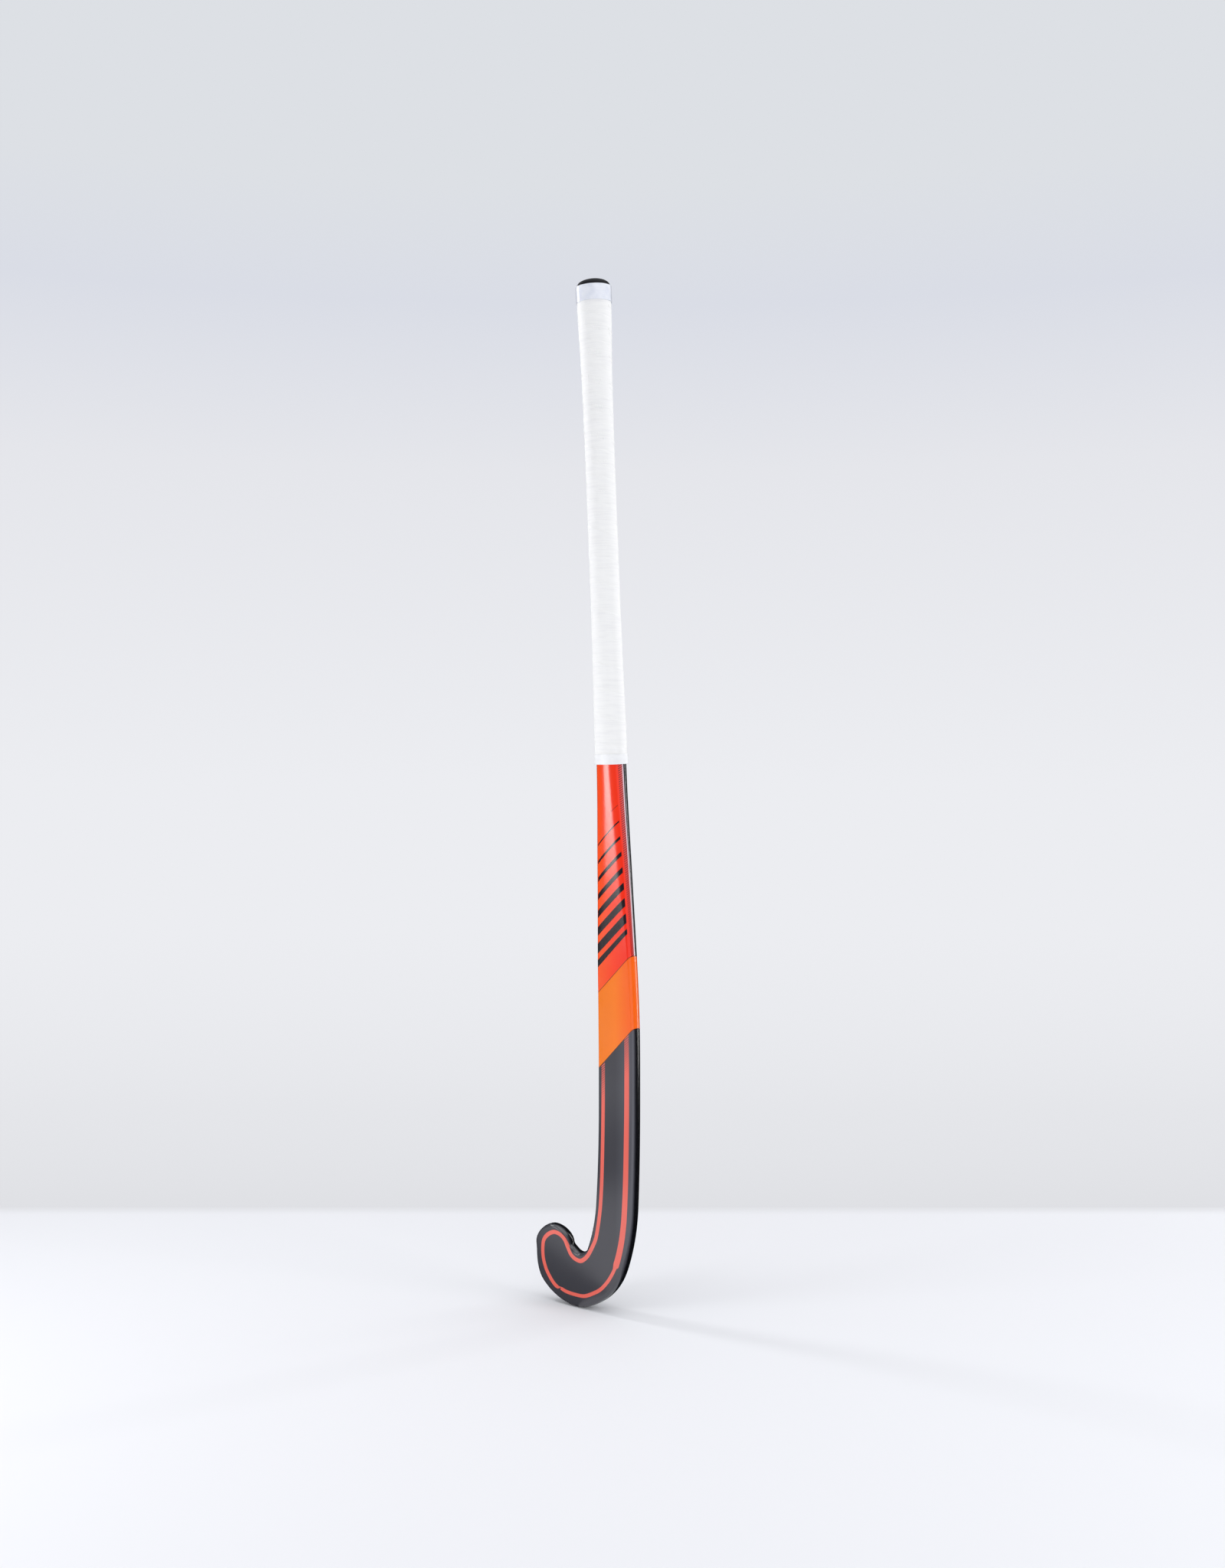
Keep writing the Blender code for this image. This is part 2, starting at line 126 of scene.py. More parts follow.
def mesh_piece(name, vertices, faces, material):
    """Object at the origin from plain vertices and faces, smooth shaded."""
    data = bpy.data.meshes.new(name)
    data.from_pydata([tuple(v) for v in vertices], [], faces)
    data.shade_smooth()
    data.materials.append(material)
    made = bpy.data.objects.new(name, data)
    scene.collection.objects.link(made)
    return made


# Matt white emulsion on a board, and further back a glow in the surround's own tone, painted light for the
# backdrop
board, tree = new_material("painted_board")
place = add_node(tree, "ShaderNodeNewGeometry")
depth_behind = add_node(tree, "ShaderNodeVectorMath",
                        {0: place, 1: (-sin(CAMERA_TURN), cos(CAMERA_TURN), 0.0)},
                        operation="DOT_PRODUCT")
behind = add_node(tree, "ShaderNodeMapRange", {"Value": depth_behind,
                                               "From Min": SURROUND_START - SURROUND_SOFT,
                                               "From Max": SURROUND_START + SURROUND_SOFT})
nearness = add_node(tree, "ShaderNodeMath", {0: SURROUND_START, 1: depth_behind}, operation="DIVIDE")
tones = add_node(tree, "ShaderNodeValToRGB", {"Fac": nearness})
set_stops(tones.color_ramp, FLOOR_TONES)
paint = add_node(tree, "ShaderNodeBsdfDiffuse", {"Color": colour("#e8e9ed")})
surround = add_node(tree, "ShaderNodeEmission", {"Color": tones})
ground = add_node(tree, "ShaderNodeMixShader", {0: behind, 1: paint, 2: surround})
add_node(tree, "ShaderNodeOutputMaterial", {"Surface": ground})

half_floor = FLOOR_SIZE / 2
floor = mesh_piece("studio_floor",
                   [(-half_floor, -half_floor, -HOLD.z), (half_floor, -half_floor, -HOLD.z),
                    (half_floor, half_floor, -HOLD.z), (-half_floor, half_floor, -HOLD.z)],
                   [(0, 1, 2, 3)], board)


# Light of the room
# Pale walls all round, which the camera and the lacquer see in their own tone and which fill the
# shadows evenly.

FILL_STRENGTH = 0.60

world = bpy.data.worlds.new("studio_surround")
scene.world = world
world.use_nodes = True
tree = world.node_tree
tree.nodes.clear()
direction = add_node(tree, "ShaderNodeTexCoord").outputs["Generated"]
rise = add_node(tree, "ShaderNodeSeparateXYZ", {0: direction}).outputs["Z"]
wall_share = add_node(tree, "ShaderNodeMath", {0: rise, 1: WALL_RISE}, operation="DIVIDE")
wall = add_node(tree, "ShaderNodeValToRGB", {"Fac": wall_share})
set_stops(wall.color_ramp, WALL_TONES)
rays = add_node(tree, "ShaderNodeLightPath").outputs
direct = rays["Is Camera Ray"]
for kind in ("Is Glossy Ray", "Is Transmission Ray"):
    direct = add_node(tree, "ShaderNodeMath", {0: direct, 1: rays[kind]}, operation="MAXIMUM")
seen = add_node(tree, "ShaderNodeBackground", {"Color": wall})
fill = add_node(tree, "ShaderNodeBackground", {"Color": colour("#f4f5f8"), "Strength": FILL_STRENGTH})
mixed = add_node(tree, "ShaderNodeMixShader", {0: direct, 1: fill, 2: seen})
add_node(tree, "ShaderNodeOutputWorld", {"Surface": mixed})


# Lamps and cards
# A low soft box at the left gives the soft highlight on the red, a narrow one behind at the right
# draws the rim, and a wide one hangs overhead. Black cards keep the lacquer's reflections deep.

LAMP_AIM_TOP = 0.6


def soft_box(name, turn, reach, height, width, tall, power, in_gloss=True):
    """Area lamp at a turn round the stick, facing its upright line."""
    lamp = bpy.data.lights.new(name, "AREA")
    lamp.shape = "RECTANGLE"
    lamp.size, lamp.size_y = width, tall
    lamp.energy = power
    made = bpy.data.objects.new(name, lamp)
    scene.collection.objects.link(made)
    made.visible_camera = False
    made.visible_glossy = in_gloss
    made.location = (reach * sin(turn), -reach * cos(turn), height - HOLD.z)
    aim = Vector((0.0, 0.0, min(height, LAMP_AIM_TOP) - HOLD.z)) - made.location
    made.rotation_euler = aim.to_track_quat("-Z", "Y").to_euler()


soft_box("left_soft_box", radians(-31), 1.30, 0.44, 0.46, 0.48, 5.8)
soft_box("rim_soft_box", radians(158), 1.30, 0.60, 0.08, 1.20, 2.2)
soft_box("right_soft_box", radians(98), 1.40, 0.75, 0.50, 1.20, 6.5, in_gloss=False)
soft_box("top_soft_box", radians(100), 0.60, 3.00, 3.00, 3.00, 30.0)
soft_box("small_top_box", radians(-83), 0.90, 1.25, 0.16, 0.16, 3.0)

# Matt black card, which only reflections see
card_paper, tree = new_material("black_card")
paper = add_node(tree, "ShaderNodeBsdfDiffuse", {"Color": colour("#141416")})
add_node(tree, "ShaderNodeOutputMaterial", {"Surface": paper})
CARD_REACH, CARD_TOP, CARD_LIFT, CARD_PARTS = 1.36, 1.60, 0.001, 24


def black_card(name, first_turn, last_turn, sheets):
    """Card bent round the stick from one turn to another, with sheets on the floor in front of it."""
    turns = [radians(first_turn + (last_turn - first_turn) * i / CARD_PARTS)
             for i in range(CARD_PARTS + 1)]
    rows = [(reach, CARD_LIFT) for sheet in sheets for reach in sheet]
    rows += [(CARD_REACH, CARD_LIFT), (CARD_REACH, CARD_TOP)]
    corners = [(reach * sin(turn), -reach * cos(turn), level - HOLD.z)
               for reach, level in rows for turn in turns]
    count = len(turns)
    faces = [(i + row * count, i + 1 + row * count, i + 1 + (row + 1) * count, i + (row + 1) * count)
             for row in range(0, len(rows), 2) for i in range(count - 1)]
    card = mesh_piece(name, corners, faces, card_paper)
    for seen_by in ("visible_camera", "visible_diffuse", "visible_transmission", "visible_shadow"):
        setattr(card, seen_by, False)


black_card("right_card", 98, 216, [(0.05, CARD_REACH)])
black_card("left_card", -150, -60, [(0.05, CARD_REACH)])
black_card("front_card", -60, 30, [(0.42, 0.88), (1.12, CARD_REACH)])


# Wooden core
# Six strips of steam-bent mulberry make the head and end in a V, into which the handle's two cane
# blades are glued with a rubber sheet between them. All of it lies under the skin.

MULBERRY_RING = 0.0035
CANE_FIBRE = 0.0006


def wood(name, pale, dark, pitch, roughness):
    """Long-grained wood: bands across the strip, drawn out along the stick, and fine pores."""
    made, tree = new_material(name)
    where = add_node(tree, "ShaderNodeTexCoord").outputs["Object"]
    drawn = add_node(tree, "ShaderNodeMapping", {"Vector": where, "Scale": (1 / pitch, 1 / pitch, 6.0)})
    rings = add_node(tree, "ShaderNodeTexNoise",
                     {"Vector": drawn, "Scale": 1.0, "Detail": 4.0, "Distortion": 0.6})
    pores = add_node(tree, "ShaderNodeTexNoise", {"Vector": drawn, "Scale": 9.0, "Detail": 2.0})
    tone = add_node(tree, "ShaderNodeValToRGB", {"Fac": rings})
    set_stops(tone.color_ramp, [(0.35, dark), (0.62, pale)])
    relief = add_node(tree, "ShaderNodeBump", {"Height": pores, "Strength": 0.2, "Distance": 0.0002})
    shader = add_node(tree, "ShaderNodeBsdfPrincipled",
                      {"Base Color": tone, "Roughness": roughness, "IOR": 1.50, "Normal": relief})
    add_node(tree, "ShaderNodeOutputMaterial", {"Surface": shader})
    return made


def dress(node_name, material):
    """Gives a CAD node its finish."""
    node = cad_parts[node_name]
    for slot in node.material_slots:
        slot.material = material
    if not node.material_slots:
        node.data.materials.append(material)


# Mulberry: golden brown, ring-porous, with a growth ring about every 3.5 mm
mulberry = wood("mulberry_strip", "#d9b47c", "#a9773c", MULBERRY_RING, 0.55)
# Split cane: straighter and yellower, fibre bundles 0.6 mm apart
cane = wood("split_cane", "#cfae6e", "#9c7434", CANE_FIBRE, 0.6)
for number in range(1, 7):
    dress("head_lamination_%d" % number, mulberry)
dress("handle_blade_toe_side", cane)
dress("handle_blade_heel_side", cane)


# Damping strip
# Sheet rubber, 2 mm thick, glued between the cane blades: black, matt and lightly talced.

sheet_rubber, tree = new_material("sheet_rubber")
where = add_node(tree, "ShaderNodeTexCoord").outputs["Object"]
talc = add_node(tree, "ShaderNodeTexNoise", {"Vector": where, "Scale": 220.0, "Detail": 3.0})
tone = add_node(tree, "ShaderNodeValToRGB", {"Fac": talc})
set_stops(tone.color_ramp, [(0.45, "#26262a"), (0.80, "#4c4c50")])
shader = add_node(tree, "ShaderNodeBsdfPrincipled",
                  {"Base Color": tone, "Roughness": 0.82, "IOR": 1.52})
add_node(tree, "ShaderNodeOutputMaterial", {"Surface": shader})
dress("damping_strip", sheet_rubber)


# Heel guard
# Woven aramid tape in resin, let into the outer edge of the head: yellow, a plain weave of 1.2 mm, painted
# darker where the threads dip as shade.

WEAVE_PITCH = 0.0012

aramid, tree = new_material("woven_aramid")
where = add_node(tree, "ShaderNodeTexCoord").outputs["Object"]
warp, weft = (add_node(tree, "ShaderNodeTexWave", {"Vector": where, "Scale": pi / 10 / WEAVE_PITCH},
                       bands_direction=axis).outputs["Fac"] for axis in "YZ")
crossing = add_node(tree, "ShaderNodeMath", {0: warp, 1: weft}, operation="MULTIPLY")
tone = add_node(tree, "ShaderNodeValToRGB", {"Fac": crossing})
set_stops(tone.color_ramp, [(0.0, "#a98022"), (1.0, "#dcb84a")])
relief = add_node(tree, "ShaderNodeBump", {"Height": crossing, "Strength": 0.4, "Distance": 0.0002})
shader = add_node(tree, "ShaderNodeBsdfPrincipled",
                  {"Base Color": tone, "Roughness": 0.42, "IOR": 1.55, "Normal": relief})
add_node(tree, "ShaderNodeOutputMaterial", {"Surface": shader})
dress("heel_guard", aramid)


# Composite skin
# Fibre and resin cured round the wood in a press, then sprayed, printed and lacquered. It is flat on
# the playing side, round on the back, and turns from an oval at the neck to the broad head.

# The form of the stick, section by section from the foot up: height, width, depth, roundness
SECTIONS = ((0.250, 0.0406, 0.0200, 0.0), (0.300, 0.0392, 0.0200, 0.0), (0.400, 0.0338, 0.0204, 0.3),
            (0.478, 0.0290, 0.0212, 0.65), (0.535, 0.0275, 0.0219, 0.9), (0.655, 0.0239, 0.0228, 1.0),
            (0.770, 0.0238, 0.0229, 1.0), (0.838, 0.0249, 0.0234, 1.0), (0.908, 0.0280, 0.0266, 1.0))
SHAFT_WIDTH, SHAFT_DEPTH = SECTIONS[0][1:3]
EDGE_WIDTH, EDGE_DEPTH, OVAL_SHARE = 0.0027, 0.0053, 0.9
BACK_POWER, TOE_BACK_POWER = 2.5, 2.1
CROWN_POWERS = ((0.0, 3.2), (0.3, 2.8), (0.65, 2.3), (1.0, 2.1))
CROWN_FULL = 0.3
BOW_START, BOW_LENGTH, HANDLE_LEAN = 0.220, 0.100, 0.064
BENDS = ((1.389, radians(3.73)), (0.1647, radians(18.1)), (0.0300, radians(150.4)))
HOOK_START = 0.18905921
TOE_CENTRE = sum(radius * angle for radius, angle in BENDS)
CROOK_LENGTH = BENDS[2][0] * BENDS[2][1]
CROOK_START = TOE_CENTRE - CROOK_LENGTH
OUTER_REACHES, INNER_REACHES = [[(0.0, SHAFT_WIDTH / 2)] + [(CROOK_START + CROOK_LENGTH * quarter / 4, reach)
                                                            for quarter, reach in enumerate(reaches)]
                                for reaches in ((0.0227, 0.0249, 0.0296, 0.0301, 0.0223),
                                                (0.0203, 0.0212, 0.0212, 0.0212, 0.0187))]
TOE_DEPTH, TOE_STRETCH, TOE_POWER = 0.0177, 0.81, 1.70
HOOK_DEPTHS = ((CROOK_START, SHAFT_DEPTH), (TOE_CENTRE, TOE_DEPTH))
BACK_POWERS = ((CROOK_START, BACK_POWER), (TOE_CENTRE, TOE_BACK_POWER))
SKIN_THICKNESS = 0.0009
SKIN_TOP = 0.896
FORM_KNOTS = [[(section[0], section[k]) for section in SECTIONS] for k in (1, 2, 3)]


def smooth(knots, at):
    """Value of a smooth curve through (position, value) knots that never overshoots them."""
    if at <= knots[0][0]:
        return knots[0][1]
    if at >= knots[-1][0]:
        return knots[-1][1]
    rises = [(b[1] - a[1]) / (b[0] - a[0]) for a, b in zip(knots, knots[1:])]
    slopes = [0.0]
    for before, after in zip(rises, rises[1:]):
        slopes.append(2 * before * after / (before + after) if before * after > 0 else 0.0)
    slopes.append(0.0)
    i = max(k for k in range(len(knots) - 1) if knots[k][0] <= at)
    span = knots[i + 1][0] - knots[i][0]
    t = (at - knots[i][0]) / span
    value = knots[i][1] * (1 + 2 * t) * (1 - t) ** 2 + knots[i + 1][1] * t * t * (3 - 2 * t)
    return value + span * (slopes[i] * t * (1 - t) ** 2 - slopes[i + 1] * t * t * (1 - t))


def form_at(distance):
    """Width, depth, roundness and sideways shift at a distance past the hook's start."""
    if distance > 0:
        outer, inner = smooth(OUTER_REACHES, distance), smooth(INNER_REACHES, distance)
        return outer + inner, smooth(HOOK_DEPTHS, distance), 0.0, (outer - inner) / 2
    return tuple(smooth(knots, HOOK_START - distance) for knots in FORM_KNOTS) + (0.0,)


def middle_line(distance):
    """Side place, height and turn of the stick's middle line."""
    side, height, turn = 0.0, HOOK_START, 0.0
    if distance <= 0:
        return side, height - distance, turn
    for radius, angle in BENDS:
        after = turn + min(distance / radius, angle)
        side += radius * (cos(after) - cos(turn))
        height -= radius * (sin(after) - sin(turn))
        distance -= radius * (after - turn)
        turn = after
        if distance <= 0:
            return side, height, turn
    return side - distance * sin(turn), height - distance * cos(turn), turn


def on_stick(distance, across, back, onward=0.0):
    """Point of the stick in the part's frame: across from the section's middle, back from the face."""
    side, height, turn = middle_line(distance)
    _, depth, _, shift = form_at(distance)
    past = min(max(height - BOW_START, 0.0), BOW_LENGTH)
    bow = -HANDLE_LEAN * (past ** 2 / (2 * BOW_LENGTH) + max(height - BOW_START - BOW_LENGTH, 0.0))
    tilt = atan(HANDLE_LEAN * past / BOW_LENGTH)
    face = 0.0 if distance > 0 else (SHAFT_DEPTH - depth) / 2
    off = back - depth / 2
    across += shift
    return Vector((side + across * cos(turn) - onward * sin(turn),
                   bow + face + depth / 2 + off * cos(tilt),
                   height - across * sin(turn) - onward * cos(turn) + off * sin(tilt))) - HOLD


def half_round(distance, inset, face_steps, edge_steps, back_steps):
    """Half of a section as (across, back) points, from the middle of the face round to the back."""
    width, depth, roundness, _ = form_at(distance)
    half = width / 2 - inset
    edge = EDGE_WIDTH + (width / 2 * OVAL_SHARE - EDGE_WIDTH) * roundness - inset
    front = EDGE_DEPTH + (depth / 2 - EDGE_DEPTH) * roundness - inset
    flat_power = smooth(BACK_POWERS, distance)
    power = flat_power + (2 - flat_power) * roundness
    rear = depth - 2 * inset - front
    points = [((half - edge) * step / face_steps, inset) for step in range(face_steps)]
    for step in range(edge_steps + 1):
        turn = pi / 2 * step / edge_steps
        points.append((half - edge + edge * sin(turn), inset + front - front * cos(turn)))
    crown, crowned = smooth(CROWN_POWERS, roundness), min(roundness / CROWN_FULL, 1.0)
    for k, (across, back) in enumerate(points):
        domed = inset + front * (1 - max(1 - (across / half) ** crown, 0.0) ** (1 / crown))
        points[k] = (across, back + (domed - back) * crowned)
    for step in range(1, back_steps):
        turn = pi / 2 * step / back_steps
        points.append((half * cos(turn) ** (2 / power), inset + front + rear * sin(turn) ** (2 / power)))
    return points + [(0.0, depth - inset)]


def toe_curve(turn):
    """Shares of the half width, across and onward, at a turn round the end of the toe."""
    across = copysign(abs(cos(turn)) ** (2 / TOE_POWER), cos(turn))
    return across, TOE_STRETCH * max(sin(turn), 0.0) ** (2 / TOE_POWER)


def ring_faces(first, ring_count, columns, inward=False):
    """Quads between rings from the top down, the first point's number given, facing out or in."""
    faces = []
    for row in range(ring_count - 1):
        for k in range(columns):
            a = first + row * columns + k
            b = first + row * columns + (k + 1) % columns
            faces.append((a, a + columns, b + columns, b))
    return [face[::-1] for face in faces] if inward else faces


def way_along(points):
    """Length of the way along a row of points, from the first to each of them."""
    arc = [0.0]
    for (a, b), (c, d) in zip(points, points[1:]):
        arc.append(arc[-1] + ((a - c) ** 2 + (b - d) ** 2) ** 0.5)
    return arc


SECTION_STEPS = (13, 9, 18)
WIDEST = SECTION_STEPS[0] + SECTION_STEPS[1]
ROUND = 2 * sum(SECTION_STEPS)
FINE_TOP, HIDDEN_ROW = 0.510, 0.010
OUTER_STEPS, INNER_STEPS = (0.0022, radians(2.6)), (0.010, radians(9))
OUTER_TOE_STEPS, INNER_TOE_STEPS = 60, 18


def sock(distances, inset, toe_steps, inward):
    """Surface of the form from the first distance down and round the toe, with each point's
    distance and its number in the half section."""
    points, marks = [], []
    for distance in distances:
        half = half_round(distance, inset, *SECTION_STEPS)
        for k, (across, back) in enumerate(half + [(-a, b) for a, b in half[-2:0:-1]]):
            points.append(on_stick(distance, across, back))
            marks.append((distance, min(k, ROUND - k)))
    faces = ring_faces(0, len(distances), ROUND)
    front = (len(distances) - 1) * ROUND
    rear = front + ROUND // 2
    strand = list(range(front + 1, rear))
    half = half_round(distances[-1], inset, *SECTION_STEPS)
    for step in range(1, toe_steps + 1):
        after = list(range(front + ROUND - 1, rear, -1))
        if step < toe_steps:
            across, onward = toe_curve(pi * step / toe_steps)
            after = list(range(len(points), len(points) + len(strand)))
            for k, (a, b) in enumerate(half[1:-1]):
                points.append(on_stick(distances[-1], a * across, b, a * onward))
                marks.append((distances[-1], k + 1))
        faces.append((front, after[0], strand[0]))
        for i in range(len(strand) - 1):
            faces.append((strand[i], after[i], after[i + 1], strand[i + 1]))
        faces.append((strand[-1], after[-1], rear))
        strand = after
    return points, [face[::-1] for face in faces] if inward else faces, marks


def stations(row, turn_step):
    """Distances from the top of the skin to the middle of the toe, wider apart under the grip."""
    distances = []
    for top, foot, step in ((SKIN_TOP, FINE_TOP, HIDDEN_ROW), (FINE_TOP, HOOK_START, row)):
        count = round((top - foot) / step)
        distances += [HOOK_START - top + (top - foot) * i / count for i in range(count)]
    start = 0.0
    for radius, angle in BENDS:
        parts = max(round(radius * angle / row / 2), round(angle / turn_step))
        distances += [start + radius * angle * step / parts for step in range(parts)]
        start += radius * angle
    return distances + [TOE_CENTRE]


outer_points, outer_faces, outer_marks = sock(stations(*OUTER_STEPS), 0.0, OUTER_TOE_STEPS, False)
inner_points, inner_faces, _ = sock(stations(*INNER_STEPS), SKIN_THICKNESS, INNER_TOE_STEPS, True)
first_inner = len(outer_points)
rim_faces = [(k, (k + 1) % ROUND, first_inner + (k + 1) % ROUND, first_inner + k) for k in range(ROUND)]
skin_faces = outer_faces + [tuple(i + first_inner for i in face) for face in inner_faces] + rim_faces

# Way round the section in millimetres, from the widest place: negative towards the face
girths, girth_rows = [], {}
for distance, k in outer_marks:
    if distance not in girth_rows:
        arc = way_along(half_round(distance, 0.0, *SECTION_STEPS))
        girth_rows[distance] = [(value - arc[WIDEST]) * 1000 for value in arc]
    girths.append(girth_rows[distance][k])

# The bands beside the red drift round towards the back on their way down
BAND_DRIFT = 22.0
DRIFT_FOOT, DRIFT_ZERO, DRIFT_TOP = 0.300, 0.491, 0.511
bands = [girth + BAND_DRIFT * (min(max(HOOK_START - distance, DRIFT_FOOT), DRIFT_TOP) - DRIFT_ZERO)
         for girth, (distance, _) in zip(girths, outer_marks)]

# The printed line is drawn in three strokes, given in millimetres on the face: sideways from the
# shaft's middle and up from the foot of the head. The widths are those at a stroke's start and end.
TOE_STROKE = ((-13.5, 268), (-13.4, 200), (-13.8, 165), (-14.8, 127.5), (-15.8, 108), (-17.4, 90.9),
              (-21.1, 70.1), (-24.7, 61.1), (-30.0, 51.8), (-34.4, 46.8), (-39.7, 43.7), (-46.0, 44.6),
              (-51.0, 47.9), (-55.0, 54.3), (-58.6, 60.3), (-64.1, 64.0), (-71.0, 64.9), (-77.9, 61.6),
              (-82.8, 56.1), (-84.3, 49.0), (-83.8, 39.1), (-80.6, 29.7), (-76.0, 22.7), (-71.0, 17.3),
              (-65.9, 14.0))
LOW_STROKE = ((-63.2, 14.5), (-55.9, 12.4), (-45.1, 11.7), (-35.3, 12.3), (-26.4, 16.1), (-16.8, 21.8),
              (-8.9, 30.0), (-2.8, 39.1), (0.6, 46.0))
HEEL_STROKE = ((13.0, 268), (13.0, 190), (11.9, 127.5), (10.4, 95.5), (9.2, 82.3), (7.1, 68.8),
               (3.8, 55.2), (0.1, 44.1))
STROKES = ((TOE_STROKE, 3.9, 3.8), (LOW_STROKE, 3.3, 3.3), (HEEL_STROKE, 4.8, 6.2))
STROKE_STEP = 0.5
STROKES_TOP, OFF_LINE, INSIDE = 275, 9.0, -20.0


def drawn(knots):
    """Points half a millimetre apart on a smooth curve through the knots."""
    knots = [Vector(knot) for knot in knots]
    ends = [2 * knots[0] - knots[1]] + knots + [2 * knots[-1] - knots[-2]]
    samples = []
    for before, start, end, after in zip(ends, ends[1:], ends[2:], ends[3:]):
        count = max(1, round((end - start).length / STROKE_STEP))
        for i in range(count):
            t = i / count
            samples.append(0.5 * (2 * start + (end - before) * t
                                  + (2 * before - 5 * start + 4 * end - after) * t * t
                                  + (3 * start - before - 3 * end + after) * t ** 3))
    return samples + [knots[-1]]


def from_stroke(samples, tree, widths, place):
    """How far a place is from a stroke's middle, 1 at its edge or its square end."""
    nearest = tree.find((place.x, place.y, 0.0))[1]
    last = len(samples) - 1
    along = (samples[min(nearest + 1, last)] - samples[max(nearest - 1, 0)]).normalized()
    off = place - samples[nearest]
    half = (widths[0] + (widths[1] - widths[0]) * nearest / last) / 2
    past_end = off.dot(along) if nearest == last else -off.dot(along) if nearest == 0 else -half
    return max(abs(off.cross(along)), half + past_end) / half


stroke_trees = []
for knots, start_width, end_width in STROKES:
    samples = drawn(knots)
    tree = KDTree(len(samples))
    for i, sample in enumerate(samples):
        tree.insert((sample.x, sample.y, 0.0), i)
    tree.balance()
    stroke_trees.append((samples, tree, (start_width, end_width)))
lines = []
for point, (distance, k) in zip(outer_points, outer_marks):
    place = Vector((point.x, point.z + HOLD.z)) * 1000
    on_face = k <= WIDEST and place.y < STROKES_TOP
    lines.append(min(from_stroke(*stroke, place) for stroke in stroke_trees) if on_face else OFF_LINE)

# Polyester lacquer over print, glossy and faintly rippled by the spray gun. Heights below are the
# borders' at the middle of the stick; both rise towards the heel side.
UPPER_BORDER, UPPER_SLOPE = 0.3089, 0.95
LOWER_BORDER, LOWER_SLOPE = 0.2415, 1.00
PRINT_SOFT = 0.00012
BORDER_LINE = 0.00035
HATCH_PITCH, HATCH_SLOPE = 0.0020, 0.58
HATCH_SHARES = (0.20, 0.30)
CORAL_PITCH, CORAL_SLOPE, CORAL_FADE = 0.0021, 0.80, 0.050
CORAL_SHARES, CORAL_SOFT = (0.21, 0.62), 0.04
BAR_PITCH, BAR_SLOPE, BAR_FOOT, BAR_TOP = 0.0150, 0.90, 0.335, 0.452
BAR_SHARES, BAR_SOFT = (0.34, 0.02), 0.016
BAR_LIMIT = -8.0
BAND_REACH = 9.0
# Half width across the face over which the inks and the black's painted sheen change
INK_AND_SHEEN_SPREAD = 0.016

lacquer, tree = new_material("printed_polyester_lacquer")
where = add_node(tree, "ShaderNodeTexCoord").outputs["Object"]
girth = add_node(tree, "ShaderNodeAttribute", attribute_name="girth").outputs["Fac"]
band = add_node(tree, "ShaderNodeAttribute", attribute_name="band").outputs["Fac"]
line = add_node(tree, "ShaderNodeAttribute", attribute_name="line").outputs["Fac"]
side = add_node(tree, "ShaderNodeSeparateXYZ", {0: where}).outputs["X"]

# Height above each slanted border and, from it, what lies above and what lies along the border
over, above, edged = {}, {}, {}
for border, level, slope in (("upper", UPPER_BORDER, UPPER_SLOPE), ("lower", LOWER_BORDER, LOWER_SLOPE)):
    rise = add_node(tree, "ShaderNodeVectorMath", {0: where, 1: (-slope, 0.0, 1.0)}, operation="DOT_PRODUCT")
    over[border] = add_node(tree, "ShaderNodeMath", {0: rise, 1: HOLD.z - level}, operation="ADD")
    above[border] = add_node(tree, "ShaderNodeMapRange",
                             {"Value": over[border], "From Min": -PRINT_SOFT, "From Max": PRINT_SOFT})
    off = add_node(tree, "ShaderNodeMath", {0: over[border]}, operation="ABSOLUTE")
    edged[border] = add_node(tree, "ShaderNodeMapRange",
                             {"Value": off, "From Min": BORDER_LINE + PRINT_SOFT,
                              "From Max": BORDER_LINE - PRINT_SOFT})

# Strokes of the three hatches: 1 in a stroke and 0 between two
wave = {}
for hatch, pitch, slope in (("coral", CORAL_PITCH, CORAL_SLOPE), ("bar", BAR_PITCH, BAR_SLOPE)):
    phase = add_node(tree, "ShaderNodeVectorMath", {0: where, 1: (-slope / pitch, 0.0, 1 / pitch)},
                     operation="DOT_PRODUCT")
    wave[hatch] = add_node(tree, "ShaderNodeMath", {0: phase, 1: 0.5}, operation="PINGPONG")
rise = add_node(tree, "ShaderNodeSeparateXYZ", {0: where}).outputs["Z"]
steps = add_node(tree, "ShaderNodeMath", {0: rise, 1: 1 / HATCH_PITCH}, operation="MULTIPLY")
phase = add_node(tree, "ShaderNodeMath", {0: girth, 1: -0.001 * HATCH_SLOPE / HATCH_PITCH, 2: steps},
                 operation="MULTIPLY_ADD")
wave["hatch"] = add_node(tree, "ShaderNodeMath", {0: phase, 1: 0.5}, operation="PINGPONG")
in_hatch = add_node(tree, "ShaderNodeMapRange", {"Value": wave["hatch"], "From Min": HATCH_SHARES[0],
                                                 "From Max": HATCH_SHARES[1]})

# Red and orange inks, yellower on the toe side
spread = add_node(tree, "ShaderNodeMapRange", {"Value": side, "From Min": -INK_AND_SHEEN_SPREAD,
                                               "From Max": INK_AND_SHEEN_SPREAD})
red = add_node(tree, "ShaderNodeValToRGB", {"Fac": spread})
set_stops(red.color_ramp, [(0.0, "#ff5a20"), (0.5, "#ff4018"), (1.0, "#fa2c10")])
orange = add_node(tree, "ShaderNodeValToRGB", {"Fac": spread})
set_stops(orange.color_ramp, [(0.0, "#f87c04"), (0.5, "#ff7e06"), (1.0, "#ff6602")])

